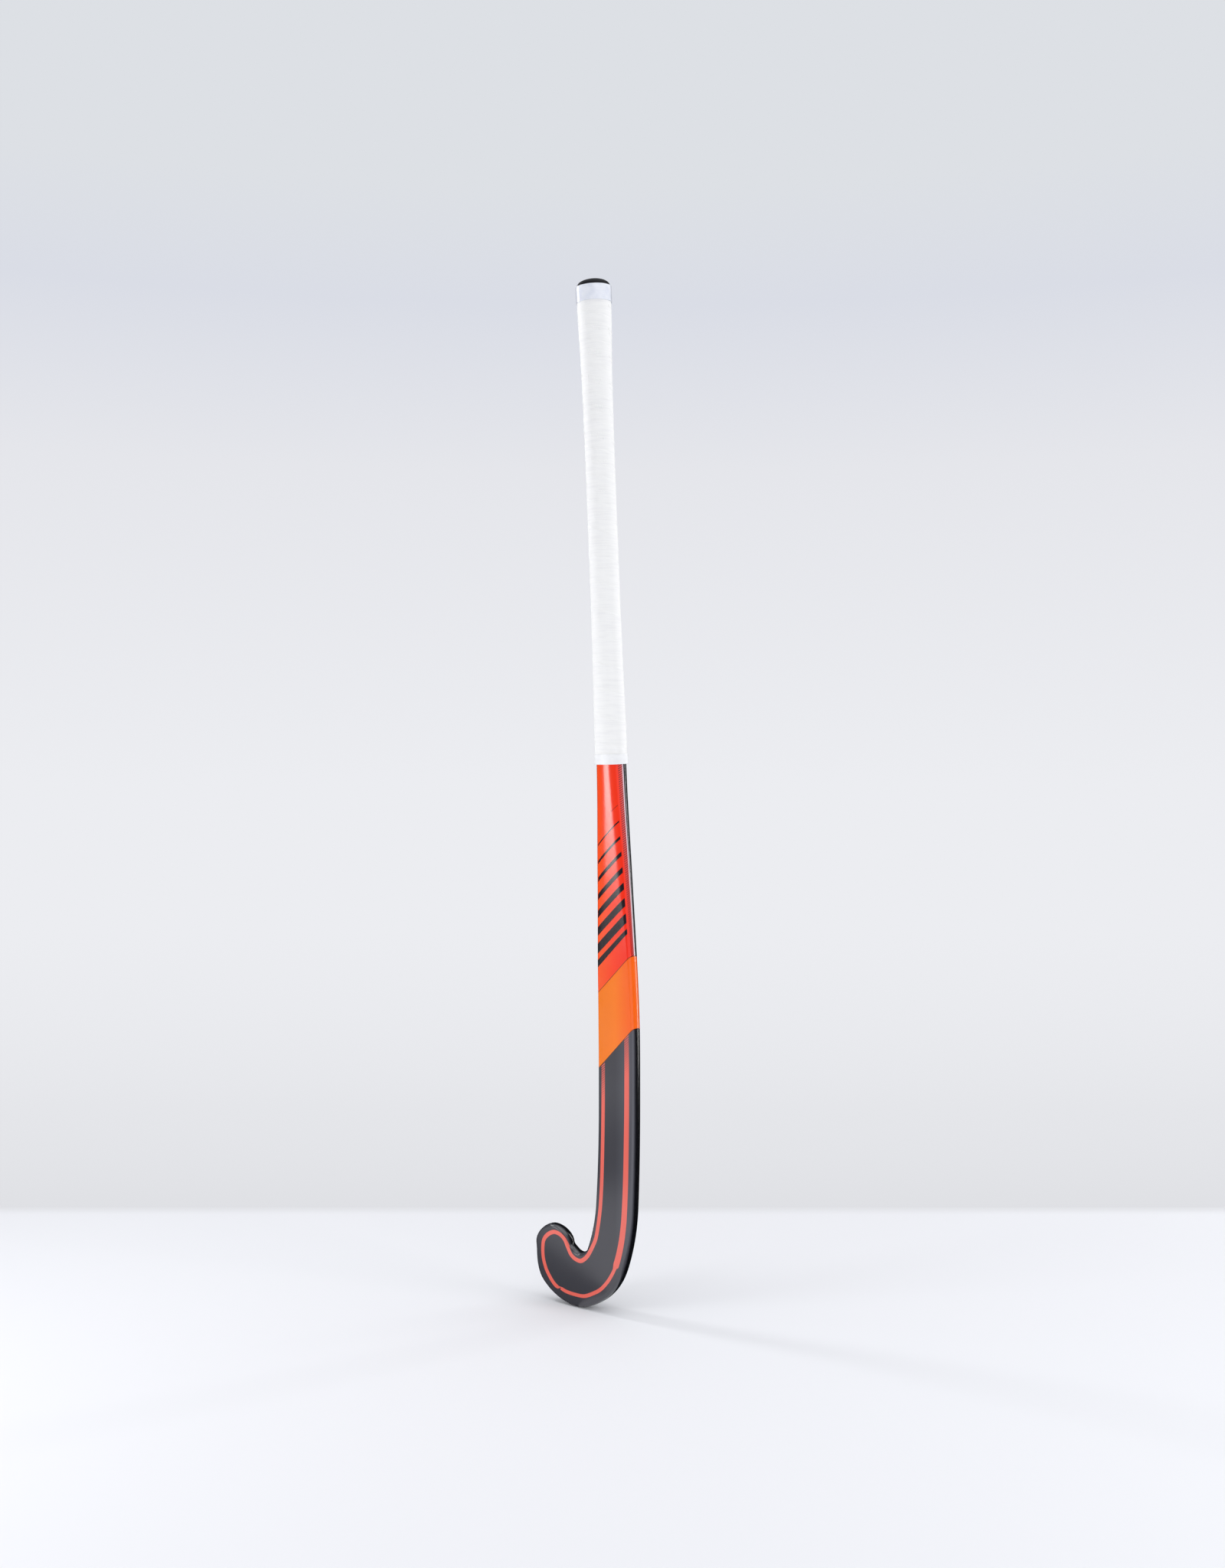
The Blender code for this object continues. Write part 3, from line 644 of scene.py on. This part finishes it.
# Bands along both edges of the red: hatch, pale line and black stripe, by millimetres of the way
# round. One ramp is for the hatch's strokes and the other for the gaps between them.
STROKE_STOPS = [(-6.3, "#90141600"), (-6.1, "#901416"), (-2.1, "#86181c")]
GAP_STOPS = [(-6.2, "#ee605800"), (-4.0, "#e05a5aa0"), (-2.1, "#d88488")]
STRIPE_STOPS = [(-1.9, "#ecd2da"), (-0.8, "#e2c6d0"), (-0.4, "#17141a"), (7.0, "#17141a"), (7.2, "#e8441e00")]


def ramp_place(millimetres):
    """Place on a ramp that covers the way round from -9 to 9 mm."""
    return (millimetres + BAND_REACH) / 2 / BAND_REACH


across = {}
for name, way_round in (("band", band), ("girth", girth)):
    across[name] = add_node(tree, "ShaderNodeMapRange", {"Value": way_round, "From Min": -BAND_REACH,
                                                         "From Max": BAND_REACH})
banded = []
for hatch_stops in (STROKE_STOPS, GAP_STOPS):
    banded.append(add_node(tree, "ShaderNodeValToRGB", {"Fac": across["band"]}))
    set_stops(banded[-1].color_ramp, [(ramp_place(place), tone)
                                      for place, tone in hatch_stops + STRIPE_STOPS])
stroke_bands, gap_bands = banded

# Slanted bars up the middle of the red, wide at the foot and thin at the top
bar_share = add_node(tree, "ShaderNodeMapRange",
                     {"Value": over["upper"], "From Min": BAR_FOOT - UPPER_BORDER,
                      "From Max": BAR_TOP - UPPER_BORDER, "To Min": BAR_SHARES[0], "To Max": BAR_SHARES[1]})
bar_room = add_node(tree, "ShaderNodeMath", {0: bar_share, 1: wave["bar"]}, operation="SUBTRACT")
in_bar = add_node(tree, "ShaderNodeMapRange", {"Value": bar_room, "From Min": 0.0, "From Max": BAR_SOFT})
bar_reach = add_node(tree, "ShaderNodeMapRange", {"Value": band, "From Min": BAR_LIMIT,
                                                  "From Max": BAR_LIMIT - 0.2})
for limit, soft in ((BAR_FOOT - 0.004, 0.0002), (BAR_TOP, -0.0002)):
    ended = add_node(tree, "ShaderNodeMapRange", {"Value": over["upper"], "From Min": limit - UPPER_BORDER,
                                                  "From Max": limit + soft - UPPER_BORDER})
    bar_reach = add_node(tree, "ShaderNodeMath", {0: bar_reach, 1: ended}, operation="MULTIPLY")
bars = add_node(tree, "ShaderNodeMath", {0: in_bar, 1: bar_reach}, operation="MULTIPLY")

# Coral line on the black, hatched where it starts and solid further down
coral_share = add_node(tree, "ShaderNodeMapRange", {"Value": over["lower"], "From Min": 0.0,
                                                    "From Max": -CORAL_FADE, "To Min": CORAL_SHARES[0],
                                                    "To Max": CORAL_SHARES[1]})
coral_room = add_node(tree, "ShaderNodeMath", {0: coral_share, 1: wave["coral"]}, operation="SUBTRACT")
in_coral = add_node(tree, "ShaderNodeMapRange", {"Value": coral_room, "From Min": -CORAL_SOFT,
                                                 "From Max": CORAL_SOFT})
in_line = add_node(tree, "ShaderNodeMapRange", {"Value": line, "From Min": 1.05, "From Max": 0.95})
coral = add_node(tree, "ShaderNodeMath", {0: in_coral, 1: in_line}, operation="MULTIPLY")

# Black ink: on the face a charcoal grey, partly the ink and partly painted sheen, paler towards the heel side
# as a painted highlight, and deeper black round the sides, partly the print and partly painted shade
face_black_and_sheen = add_node(tree, "ShaderNodeValToRGB", {"Fac": spread})
set_stops(face_black_and_sheen.color_ramp, [(0.5, "#404046"), (1.0, "#54545c")])
# Deeper black round the sides: partly the print and partly painted shade
charcoal_and_side_shade = add_node(tree, "ShaderNodeValToRGB", {"Fac": across["girth"]})
set_stops(charcoal_and_side_shade.color_ramp, [(ramp_place(-3.5), "#17171d00"), (ramp_place(-1.2), "#17171d"),
                                (ramp_place(0.0), "#0b0b10"), (1.0, "#08080b")])

ink = face_black_and_sheen
for mask, over_ink in ((charcoal_and_side_shade.outputs["Alpha"], charcoal_and_side_shade), (coral, colour("#ee6a5c")),
                       (above["lower"], orange)):
    ink = add_node(tree, "ShaderNodeMix", {"Factor": mask, 6: ink, 7: over_ink}, data_type="RGBA")
upper_ink = red
band_ink = add_node(tree, "ShaderNodeMix", {"Factor": in_hatch, 6: gap_bands, 7: stroke_bands},
                    data_type="RGBA")
band_mask = add_node(tree, "ShaderNodeMix", {"Factor": in_hatch, 2: gap_bands.outputs["Alpha"],
                                             3: stroke_bands.outputs["Alpha"]})
for mask, over_ink in ((bars, colour("#241c22")), (band_mask, band_ink)):
    upper_ink = add_node(tree, "ShaderNodeMix", {"Factor": mask, 6: upper_ink, 7: over_ink}, data_type="RGBA")
for mask, over_ink in ((above["upper"], upper_ink), (edged["upper"], colour("#6a160c")),
                       (edged["lower"], colour("#5a2208"))):
    ink = add_node(tree, "ShaderNodeMix", {"Factor": mask, 6: ink, 7: over_ink}, data_type="RGBA")

ripple = add_node(tree, "ShaderNodeTexNoise", {"Vector": where, "Scale": 85.0, "Detail": 2.0})
haze = add_node(tree, "ShaderNodeTexNoise", {"Vector": where, "Scale": 38.0, "Detail": 3.0})
satin = add_node(tree, "ShaderNodeMapRange", {"Value": haze, "From Min": 0.3, "From Max": 0.7,
                                              "To Min": 0.18, "To Max": 0.24})
relief = add_node(tree, "ShaderNodeBump", {"Height": ripple, "Strength": 0.012, "Distance": 0.0004})
shader = add_node(tree, "ShaderNodeBsdfPrincipled",
                  {"Base Color": ink, "Roughness": satin, "IOR": 1.50, "Coat Weight": 0.50,
                   "Coat Roughness": 0.20, "Normal": relief})
add_node(tree, "ShaderNodeOutputMaterial", {"Surface": shader})

skin = mesh_piece("printed_skin", outer_points + inner_points, skin_faces, lacquer)
# The inner wall has one value all over, past the ramps' ends
for name, values, rest in (("girth", girths, INSIDE), ("band", bands, INSIDE), ("line", lines, OFF_LINE)):
    attribute = skin.data.attributes.new(name, "FLOAT", "POINT")
    attribute.data.foreach_set("value", values + [rest] * len(inner_points))
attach(skin, "root")
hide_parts("composite_skin")


# Grip
# White polyurethane tape, wound down the handle with each turn lapped over the one before, and
# pressed with small marks along its middle. It covers the handle from the cap to the red.

GRIP_TOP, GRIP_FOOT = 0.915, 0.4995
CLEARANCE, GRIP_WALL = 0.0003, 0.0010
GRIP_OUTSIDE = -CLEARANCE - GRIP_WALL
WINDING_PITCH, WINDING_PHASE = 0.0237, 0.0065
WINDING_START = GRIP_TOP + WINDING_PITCH + WINDING_PHASE
LAP_RISE = 0.00018
COLUMNS = 96
INNER_ROWS = 44
HANDLE_STEPS = (6, 14, 16)
# No laps under the collar and the tape
PLAIN_TOP = ((GRIP_TOP - 0.012, 0.0), (GRIP_TOP - 0.0085, 1.0))
PLAIN_FOOT = ((GRIP_FOOT + 0.009, 1.0), (GRIP_FOOT + 0.013, 0.0))
# Rise of the tape over one pitch, from the lapped edge down, as a share of the lap's rise
LAP_PROFILE = ((0.0, 0.0), (0.012, 1.0), (0.05, 1.0), (0.11, 0.75), (0.16, 0.35), (0.22, 0.05), (0.30, 0.0),
               (0.40, 0.06), (0.52, 0.12), (0.64, 0.12), (0.76, 0.08), (0.88, 0.03), (0.96, 0.0))
rings = {}


def around(level, inset, share):
    """Point of the handle at a height and a share of the way round, counted from the middle of the
    face towards the heel side."""
    key = (round(level, 7), round(inset, 7))
    if key not in rings:
        half = half_round(HOOK_START - level, inset, *HANDLE_STEPS)
        loop = half + [(-a, b) for a, b in half[-2:0:-1]] + [half[0]]
        rings[key] = (loop, way_along(loop))
    loop, arc = rings[key]
    target = (share % 1.0) * arc[-1]
    low, high = 0, len(arc) - 1
    while high - low > 1:
        middle = (low + high) // 2
        low, high = (middle, high) if arc[middle] <= target else (low, middle)
    t = (target - arc[low]) / (arc[high] - arc[low])
    (a, b), (c, d) = loop[low], loop[high]
    return on_stick(HOOK_START - level, a + (c - a) * t, b + (d - b) * t)


def outward(level, share):
    """Direction out of the handle at a height and a share of the way round."""
    return (around(level, GRIP_OUTSIDE, share) - around(level, -CLEARANCE, share)).normalized()


def wound_grip():
    """Rows that wind down the handle, level at both ends, then the inner wall."""
    turns = int((GRIP_TOP - GRIP_FOOT) / WINDING_PITCH) + 3
    points, faces = [], []
    for turn in range(turns):
        for part, rise in LAP_PROFILE:
            for column in range(COLUMNS):
                share = column / COLUMNS
                level = WINDING_START - (turn + part + share) * WINDING_PITCH
                level = min(max(level, GRIP_FOOT), GRIP_TOP)
                raised = LAP_RISE * rise * (1 - smooth(PLAIN_TOP, level) - smooth(PLAIN_FOOT, level))
                points.append(around(level, GRIP_OUTSIDE, share) + outward(level, share) * raised)
    per_turn = len(LAP_PROFILE)
    rows = turns * per_turn
    for row in range(rows - 1):
        for column in range(COLUMNS - 1):
            a = row * COLUMNS + column
            faces.append((a, a + COLUMNS, a + COLUMNS + 1, a + 1))
        # The last column of a turn joins the first column of the next
        if row + per_turn + 1 < rows:
            a, b = row * COLUMNS + COLUMNS - 1, (row + per_turn) * COLUMNS
            faces.append((a, a + COLUMNS, b + COLUMNS, b))
    wall = [(GRIP_TOP, GRIP_OUTSIDE)]
    wall += [(GRIP_TOP + (GRIP_FOOT - GRIP_TOP) * i / INNER_ROWS, -CLEARANCE) for i in range(INNER_ROWS + 1)]
    wall += [(GRIP_FOOT, GRIP_OUTSIDE)]
    faces += ring_faces(len(points), len(wall), COLUMNS, True)
    for level, inset in wall:
        points += [around(level, inset, column / COLUMNS) for column in range(COLUMNS)]
    return points, faces


def tidy_mesh(piece):
    """Merges doubled points, drops flat faces and turns all faces outwards."""
    work = bmesh.new()
    work.from_mesh(piece.data)
    bmesh.ops.remove_doubles(work, verts=work.verts, dist=1e-6)
    bmesh.ops.dissolve_degenerate(work, edges=work.edges, dist=1e-7)
    bmesh.ops.recalc_face_normals(work, faces=work.faces)
    work.to_mesh(piece.data)
    work.free()


# Polyurethane: matt, tacky white with a fine grain and faint creases across the winding, painted a touch
# darker in the creases' hollows as shade
polyurethane, tree = new_material("polyurethane_tape")
where = add_node(tree, "ShaderNodeTexCoord").outputs["Object"]
grain = add_node(tree, "ShaderNodeTexNoise", {"Vector": where, "Scale": 900.0, "Detail": 2.0})
stretched = add_node(tree, "ShaderNodeMapping", {"Vector": where, "Scale": (60.0, 60.0, 900.0),
                                                 "Rotation": (0.0, radians(-15), 0.0)})
creases = add_node(tree, "ShaderNodeTexNoise", {"Vector": stretched, "Scale": 1.0, "Detail": 3.0})
tone = add_node(tree, "ShaderNodeValToRGB", {"Fac": creases})
set_stops(tone.color_ramp, [(0.30, "#f1f1f1"), (0.55, "#f7f7f6")])
height = add_node(tree, "ShaderNodeMath", {0: creases, 1: 0.4, 2: grain}, operation="MULTIPLY_ADD")
relief = add_node(tree, "ShaderNodeBump", {"Height": height, "Strength": 0.15, "Distance": 0.0002})
shader = add_node(tree, "ShaderNodeBsdfPrincipled",
                  {"Base Color": tone, "Roughness": 0.58, "IOR": 1.50,
                   "Sheen Weight": 0.1, "Normal": relief})
add_node(tree, "ShaderNodeOutputMaterial", {"Surface": shader})

grip = mesh_piece("wound_grip", *wound_grip(), polyurethane)
tidy_mesh(grip)
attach(grip, "root")
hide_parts("grip_sleeve")


# Pressed marks of the grip
# Short raised dashes that a roller presses into the tape: groups of nine in two staggered rows along
# the middle of each turn. Hands wear them away down the handle, so they are lower there.

MARKS_TOP, MARKS_FOOT = 0.904, 0.655
MARK_SIZE = (0.0005, 0.0013, 0.00022)
MARK_STEP, GROUP_STEP, GROUP_COUNT, GROUPS_ROUND = 0.0019, 0.0265, 9, 4
MARK_WEAR = ((MARKS_FOOT, 0.35), (MARKS_TOP - 0.08, 1.0))
MARK_TURNS = 14
MARK_ROWS = ((0.42, 0.0), (0.56, 0.5))

places, normals, sizes = [], [], []
for turn in range(MARK_TURNS):
    for part, stagger in MARK_ROWS:
        for number in range(GROUP_COUNT * GROUPS_ROUND):
            group, mark = divmod(number, GROUP_COUNT)
            share = (group + (mark + stagger) * MARK_STEP / GROUP_STEP) / GROUPS_ROUND % 1.0
            level = WINDING_START - (turn + part + share) * WINDING_PITCH
            if MARKS_FOOT < level < MARKS_TOP:
                places.append(around(level, GRIP_OUTSIDE, share))
                normals.append(outward(level, share))
                sizes.append(smooth(MARK_WEAR, level))

marks = mesh_piece("pressed_marks", places, [], polyurethane)
for name, kind, values in (("outward", "FLOAT_VECTOR", [c for normal in normals for c in normal]),
                           ("size", "FLOAT", sizes)):
    attribute = marks.data.attributes.new(name, kind, "POINT")
    attribute.data.foreach_set("vector" if kind == "FLOAT_VECTOR" else "value", values)

# The tree sets a small flat bead on each point, its long axis up the handle
press = bpy.data.node_groups.new("press_marks", "GeometryNodeTree")
for name, kind in (("Geometry", "Geometry"), ("Bead size", "Vector"), ("Segments", "Int"),
                   ("Finish", "Material")):
    press.interface.new_socket(name, in_out="INPUT", socket_type="NodeSocket" + kind)
press.interface.new_socket("Geometry", in_out="OUTPUT", socket_type="NodeSocketGeometry")
given = add_node(press, "NodeGroupInput").outputs
bead = add_node(press, "GeometryNodeMeshUVSphere", {"Segments": given["Segments"], "Rings": 5, "Radius": 1.0})
facing = add_node(press, "GeometryNodeInputNamedAttribute", {"Name": "outward"}, data_type="FLOAT_VECTOR")
worn = add_node(press, "GeometryNodeInputNamedAttribute", {"Name": "size"}, data_type="FLOAT")
upright = add_node(press, "FunctionNodeAlignRotationToVector", {"Vector": facing}, axis="Z")
turned = add_node(press, "FunctionNodeAlignRotationToVector",
                  {"Rotation": upright, "Vector": (0.0, 0.0, 1.0)}, axis="Y", pivot_axis="Z")
scaled = add_node(press, "ShaderNodeVectorMath", {0: given["Bead size"], "Scale": worn},
                  operation="SCALE")
beads = add_node(press, "GeometryNodeInstanceOnPoints",
                 {"Points": given["Geometry"], "Instance": bead, "Rotation": turned, "Scale": scaled})
real = add_node(press, "GeometryNodeRealizeInstances", {"Geometry": beads})
smoothed = add_node(press, "GeometryNodeSetShadeSmooth", {"Geometry": real})
finished = add_node(press, "GeometryNodeSetMaterial", {"Geometry": smoothed,
                                                       "Material": given["Finish"]})
add_node(press, "NodeGroupOutput", {"Geometry": finished})

pressing = marks.modifiers.new("press_marks", "NODES")
pressing.node_group = press
wanted = {"Bead size": MARK_SIZE, "Segments": 8, "Finish": polyurethane}
for socket in press.interface.items_tree:
    if socket.in_out == "INPUT" and socket.name in wanted:
        pressing[socket.identifier] = wanted[socket.name]
bpy.context.view_layer.update()
pressed = bpy.data.meshes.new_from_object(marks.evaluated_get(bpy.context.evaluated_depsgraph_get()))
marks.modifiers.clear()
marks.data = pressed
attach(marks, "root")


# Finishing tape
# One turn and a bit of thin white vinyl tape, stretched over the grip's lower end to stop it
# unwinding. Its outer end laps over the inner one on the heel side of the back.

TAPE_FOOT, TAPE_TOP = 0.4990, 0.5082
TAPE_INSIDE = GRIP_OUTSIDE - CLEARANCE
TAPE_WALL = 0.0005
TAPE_LAP, TAPE_SLOPES, TAPE_END_RISE = (0.36, 0.50), (0.004, 0.02), 0.00014
TAPE_ROUNDING, TAPE_ROWS, TAPE_COLUMNS = 0.00015, 8, 192


def cover(name, profile, lift, columns, material):
    """Sleeve over the handle from a closed profile of (height, inset) points, outside first from
    the top down. The lift gives more rise by height, inset and share of the way round."""
    points = []
    for level, inset in profile:
        for column in range(columns):
            share = column / columns
            points.append(around(level, inset, share) + outward(level, share) * lift(level, inset, share))
    made = mesh_piece(name, points, ring_faces(0, len(profile), columns), material)
    tidy_mesh(made)
    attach(made, "root")
    return made


def tape_lift(level, inset, share):
    """Rise of the tape's outer end where it laps over the inner one, steep at the cut."""
    if inset > TAPE_INSIDE - TAPE_WALL / 2:
        return 0.0
    rises, falls = (smooth(((end, 0.0), (end + slope, 1.0)), share)
                    for end, slope in zip(TAPE_LAP, TAPE_SLOPES))
    return TAPE_END_RISE * (rises - falls)


# Vinyl: smooth, bright white and slightly glossy, faintly wrinkled by the stretch and painted a touch darker
# in the wrinkles' hollows as shade
vinyl, tree = new_material("vinyl_tape")
where = add_node(tree, "ShaderNodeTexCoord").outputs["Object"]
wrinkles = add_node(tree, "ShaderNodeTexNoise", {"Vector": where, "Scale": 300.0, "Detail": 2.0})
tone = add_node(tree, "ShaderNodeValToRGB", {"Fac": wrinkles})
set_stops(tone.color_ramp, [(0.3, "#f1f2f4"), (0.7, "#f7f8f9")])
relief = add_node(tree, "ShaderNodeBump", {"Height": wrinkles, "Strength": 0.15, "Distance": 0.0002})
shader = add_node(tree, "ShaderNodeBsdfPrincipled",
                  {"Base Color": tone, "Roughness": 0.42, "IOR": 1.53, "Normal": relief})
add_node(tree, "ShaderNodeOutputMaterial", {"Surface": shader})

outer = TAPE_INSIDE - TAPE_WALL
tape_profile = [(TAPE_TOP, TAPE_INSIDE), (TAPE_TOP, outer + TAPE_ROUNDING), (TAPE_TOP - TAPE_ROUNDING, outer)]
tape_profile += [(TAPE_TOP + (TAPE_FOOT - TAPE_TOP) * i / TAPE_ROWS, outer) for i in range(1, TAPE_ROWS)]
tape_profile += [(TAPE_FOOT + TAPE_ROUNDING, outer), (TAPE_FOOT, outer + TAPE_ROUNDING),
                 (TAPE_FOOT, TAPE_INSIDE), (TAPE_TOP, TAPE_INSIDE)]
tape = cover("finishing_tape_wrap", tape_profile, tape_lift, TAPE_COLUMNS, vinyl)
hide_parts("finishing_tape")


# Top collar
# Clear film shrunk round the top of the grip. The heat draws it into fine ripples round the handle,
# and over the white grip it looks milky with a touch of blue.

COLLAR_FOOT, COLLAR_TOP = 0.9065, 0.9204
COLLAR_WALL = 0.0004
RIPPLE_PITCH, RIPPLE_RISE = 0.0011, 0.00004
RIPPLE_ROWS = 64
RIPPLE_SWAYS = ((2, 0.35, 0.0), (6, 0.2, 1.0))
FILM_ENDS = ((COLLAR_FOOT, 0.0), (COLLAR_FOOT + 0.001, 1.0), (COLLAR_TOP - 0.001, 1.0), (COLLAR_TOP, 0.0))


def film_lift(level, inset, share):
    """Ripples of the film, a little out of level round the handle."""
    if inset > TAPE_INSIDE - COLLAR_WALL / 2:
        return 0.0
    swing = level / RIPPLE_PITCH + sum(sway * sin(waves * pi * share + lag)
                                       for waves, sway, lag in RIPPLE_SWAYS)
    return RIPPLE_RISE * sin(2 * pi * swing) * smooth(FILM_ENDS, level)


film, tree = new_material("polyester_shrink_film")
where = add_node(tree, "ShaderNodeTexCoord").outputs["Object"]
cloud = add_node(tree, "ShaderNodeTexNoise", {"Vector": where, "Scale": 160.0, "Detail": 2.0})
tone = add_node(tree, "ShaderNodeValToRGB", {"Fac": cloud})
set_stops(tone.color_ramp, [(0.35, "#e6eaf5"), (0.65, "#f0f3fb")])
shader = add_node(tree, "ShaderNodeBsdfPrincipled",
                  {"Base Color": tone, "Roughness": 0.24, "IOR": 1.57,
                   "Coat Weight": 0.4, "Coat Roughness": 0.12})
add_node(tree, "ShaderNodeOutputMaterial", {"Surface": shader})

outer = TAPE_INSIDE - COLLAR_WALL
collar_profile = [(COLLAR_TOP, TAPE_INSIDE)]
collar_profile += [(COLLAR_TOP + (COLLAR_FOOT - COLLAR_TOP) * i / RIPPLE_ROWS, outer)
                   for i in range(RIPPLE_ROWS + 1)]
collar_profile += [(COLLAR_FOOT, TAPE_INSIDE), (COLLAR_TOP, TAPE_INSIDE)]
collar = cover("shrunk_collar", collar_profile, film_lift, COLUMNS, film)
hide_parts("top_collar")


# Butt cap
# Moulded rubber cup over the end of the wood: a skirt under the grip, a lip that stops the grip's
# end, and a low dome with a small flat where the mould was fed.

WOOD_TOP, STICK_LENGTH = 0.908, 0.927
CAP_SKIRT_FOOT, LIP_FOOT = SKIN_TOP + CLEARANCE, GRIP_TOP + CLEARANCE
LIP_INSET = GRIP_OUTSIDE + 0.0003
CAP_FLAT, DOME_POWER, DOME_STEPS, CAP_COLUMNS = 0.0040, 2.25, 26, 128

# Rubber: near black, satin, with the fine grit of the mould
rubber, tree = new_material("moulded_rubber")
where = add_node(tree, "ShaderNodeTexCoord").outputs["Object"]
grit = add_node(tree, "ShaderNodeTexNoise", {"Vector": where, "Scale": 900.0, "Detail": 3.0})
dust = add_node(tree, "ShaderNodeTexNoise", {"Vector": where, "Scale": 90.0, "Detail": 4.0})
tone = add_node(tree, "ShaderNodeValToRGB", {"Fac": dust})
set_stops(tone.color_ramp, [(0.35, "#0c0d13"), (0.75, "#15161d")])
relief = add_node(tree, "ShaderNodeBump", {"Height": grit, "Strength": 0.25, "Distance": 0.0002})
shader = add_node(tree, "ShaderNodeBsdfPrincipled",
                  {"Base Color": tone, "Roughness": 0.60, "IOR": 1.52,
                   "Specular IOR Level": 0.15, "Normal": relief})
add_node(tree, "ShaderNodeOutputMaterial", {"Surface": shader})

reach = SECTIONS[-1][2] / 2 - LIP_INSET
share = 2 / DOME_POWER
last_turn = acos((CAP_FLAT / reach) ** (1 / share))
profile = [(WOOD_TOP + CLEARANCE, SKIN_THICKNESS), (CAP_SKIRT_FOOT, SKIN_THICKNESS), (CAP_SKIRT_FOOT, 0.0),
           (LIP_FOOT, 0.0), (LIP_FOOT, LIP_INSET), (COLLAR_TOP, LIP_INSET)]
for step in range(1, DOME_STEPS + 1):
    turn = last_turn * step / DOME_STEPS
    profile.append((COLLAR_TOP + (STICK_LENGTH - COLLAR_TOP) * (sin(turn) / sin(last_turn)) ** share,
                    LIP_INSET + reach * (1 - cos(turn) ** share)))
cap_points = [around(level, inset, column / CAP_COLUMNS) for level, inset in profile
              for column in range(CAP_COLUMNS)]
cap_faces = ring_faces(0, len(profile), CAP_COLUMNS)
cap_faces.append(tuple(range(CAP_COLUMNS)))
cap_faces.append(tuple(range((len(profile) - 1) * CAP_COLUMNS, len(profile) * CAP_COLUMNS)))
cap = mesh_piece("domed_butt_cap", cap_points, cap_faces, rubber)
tidy_mesh(cap)
cap.data.set_sharp_from_angle(angle=radians(40))
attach(cap, "root")
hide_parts("butt_cap")
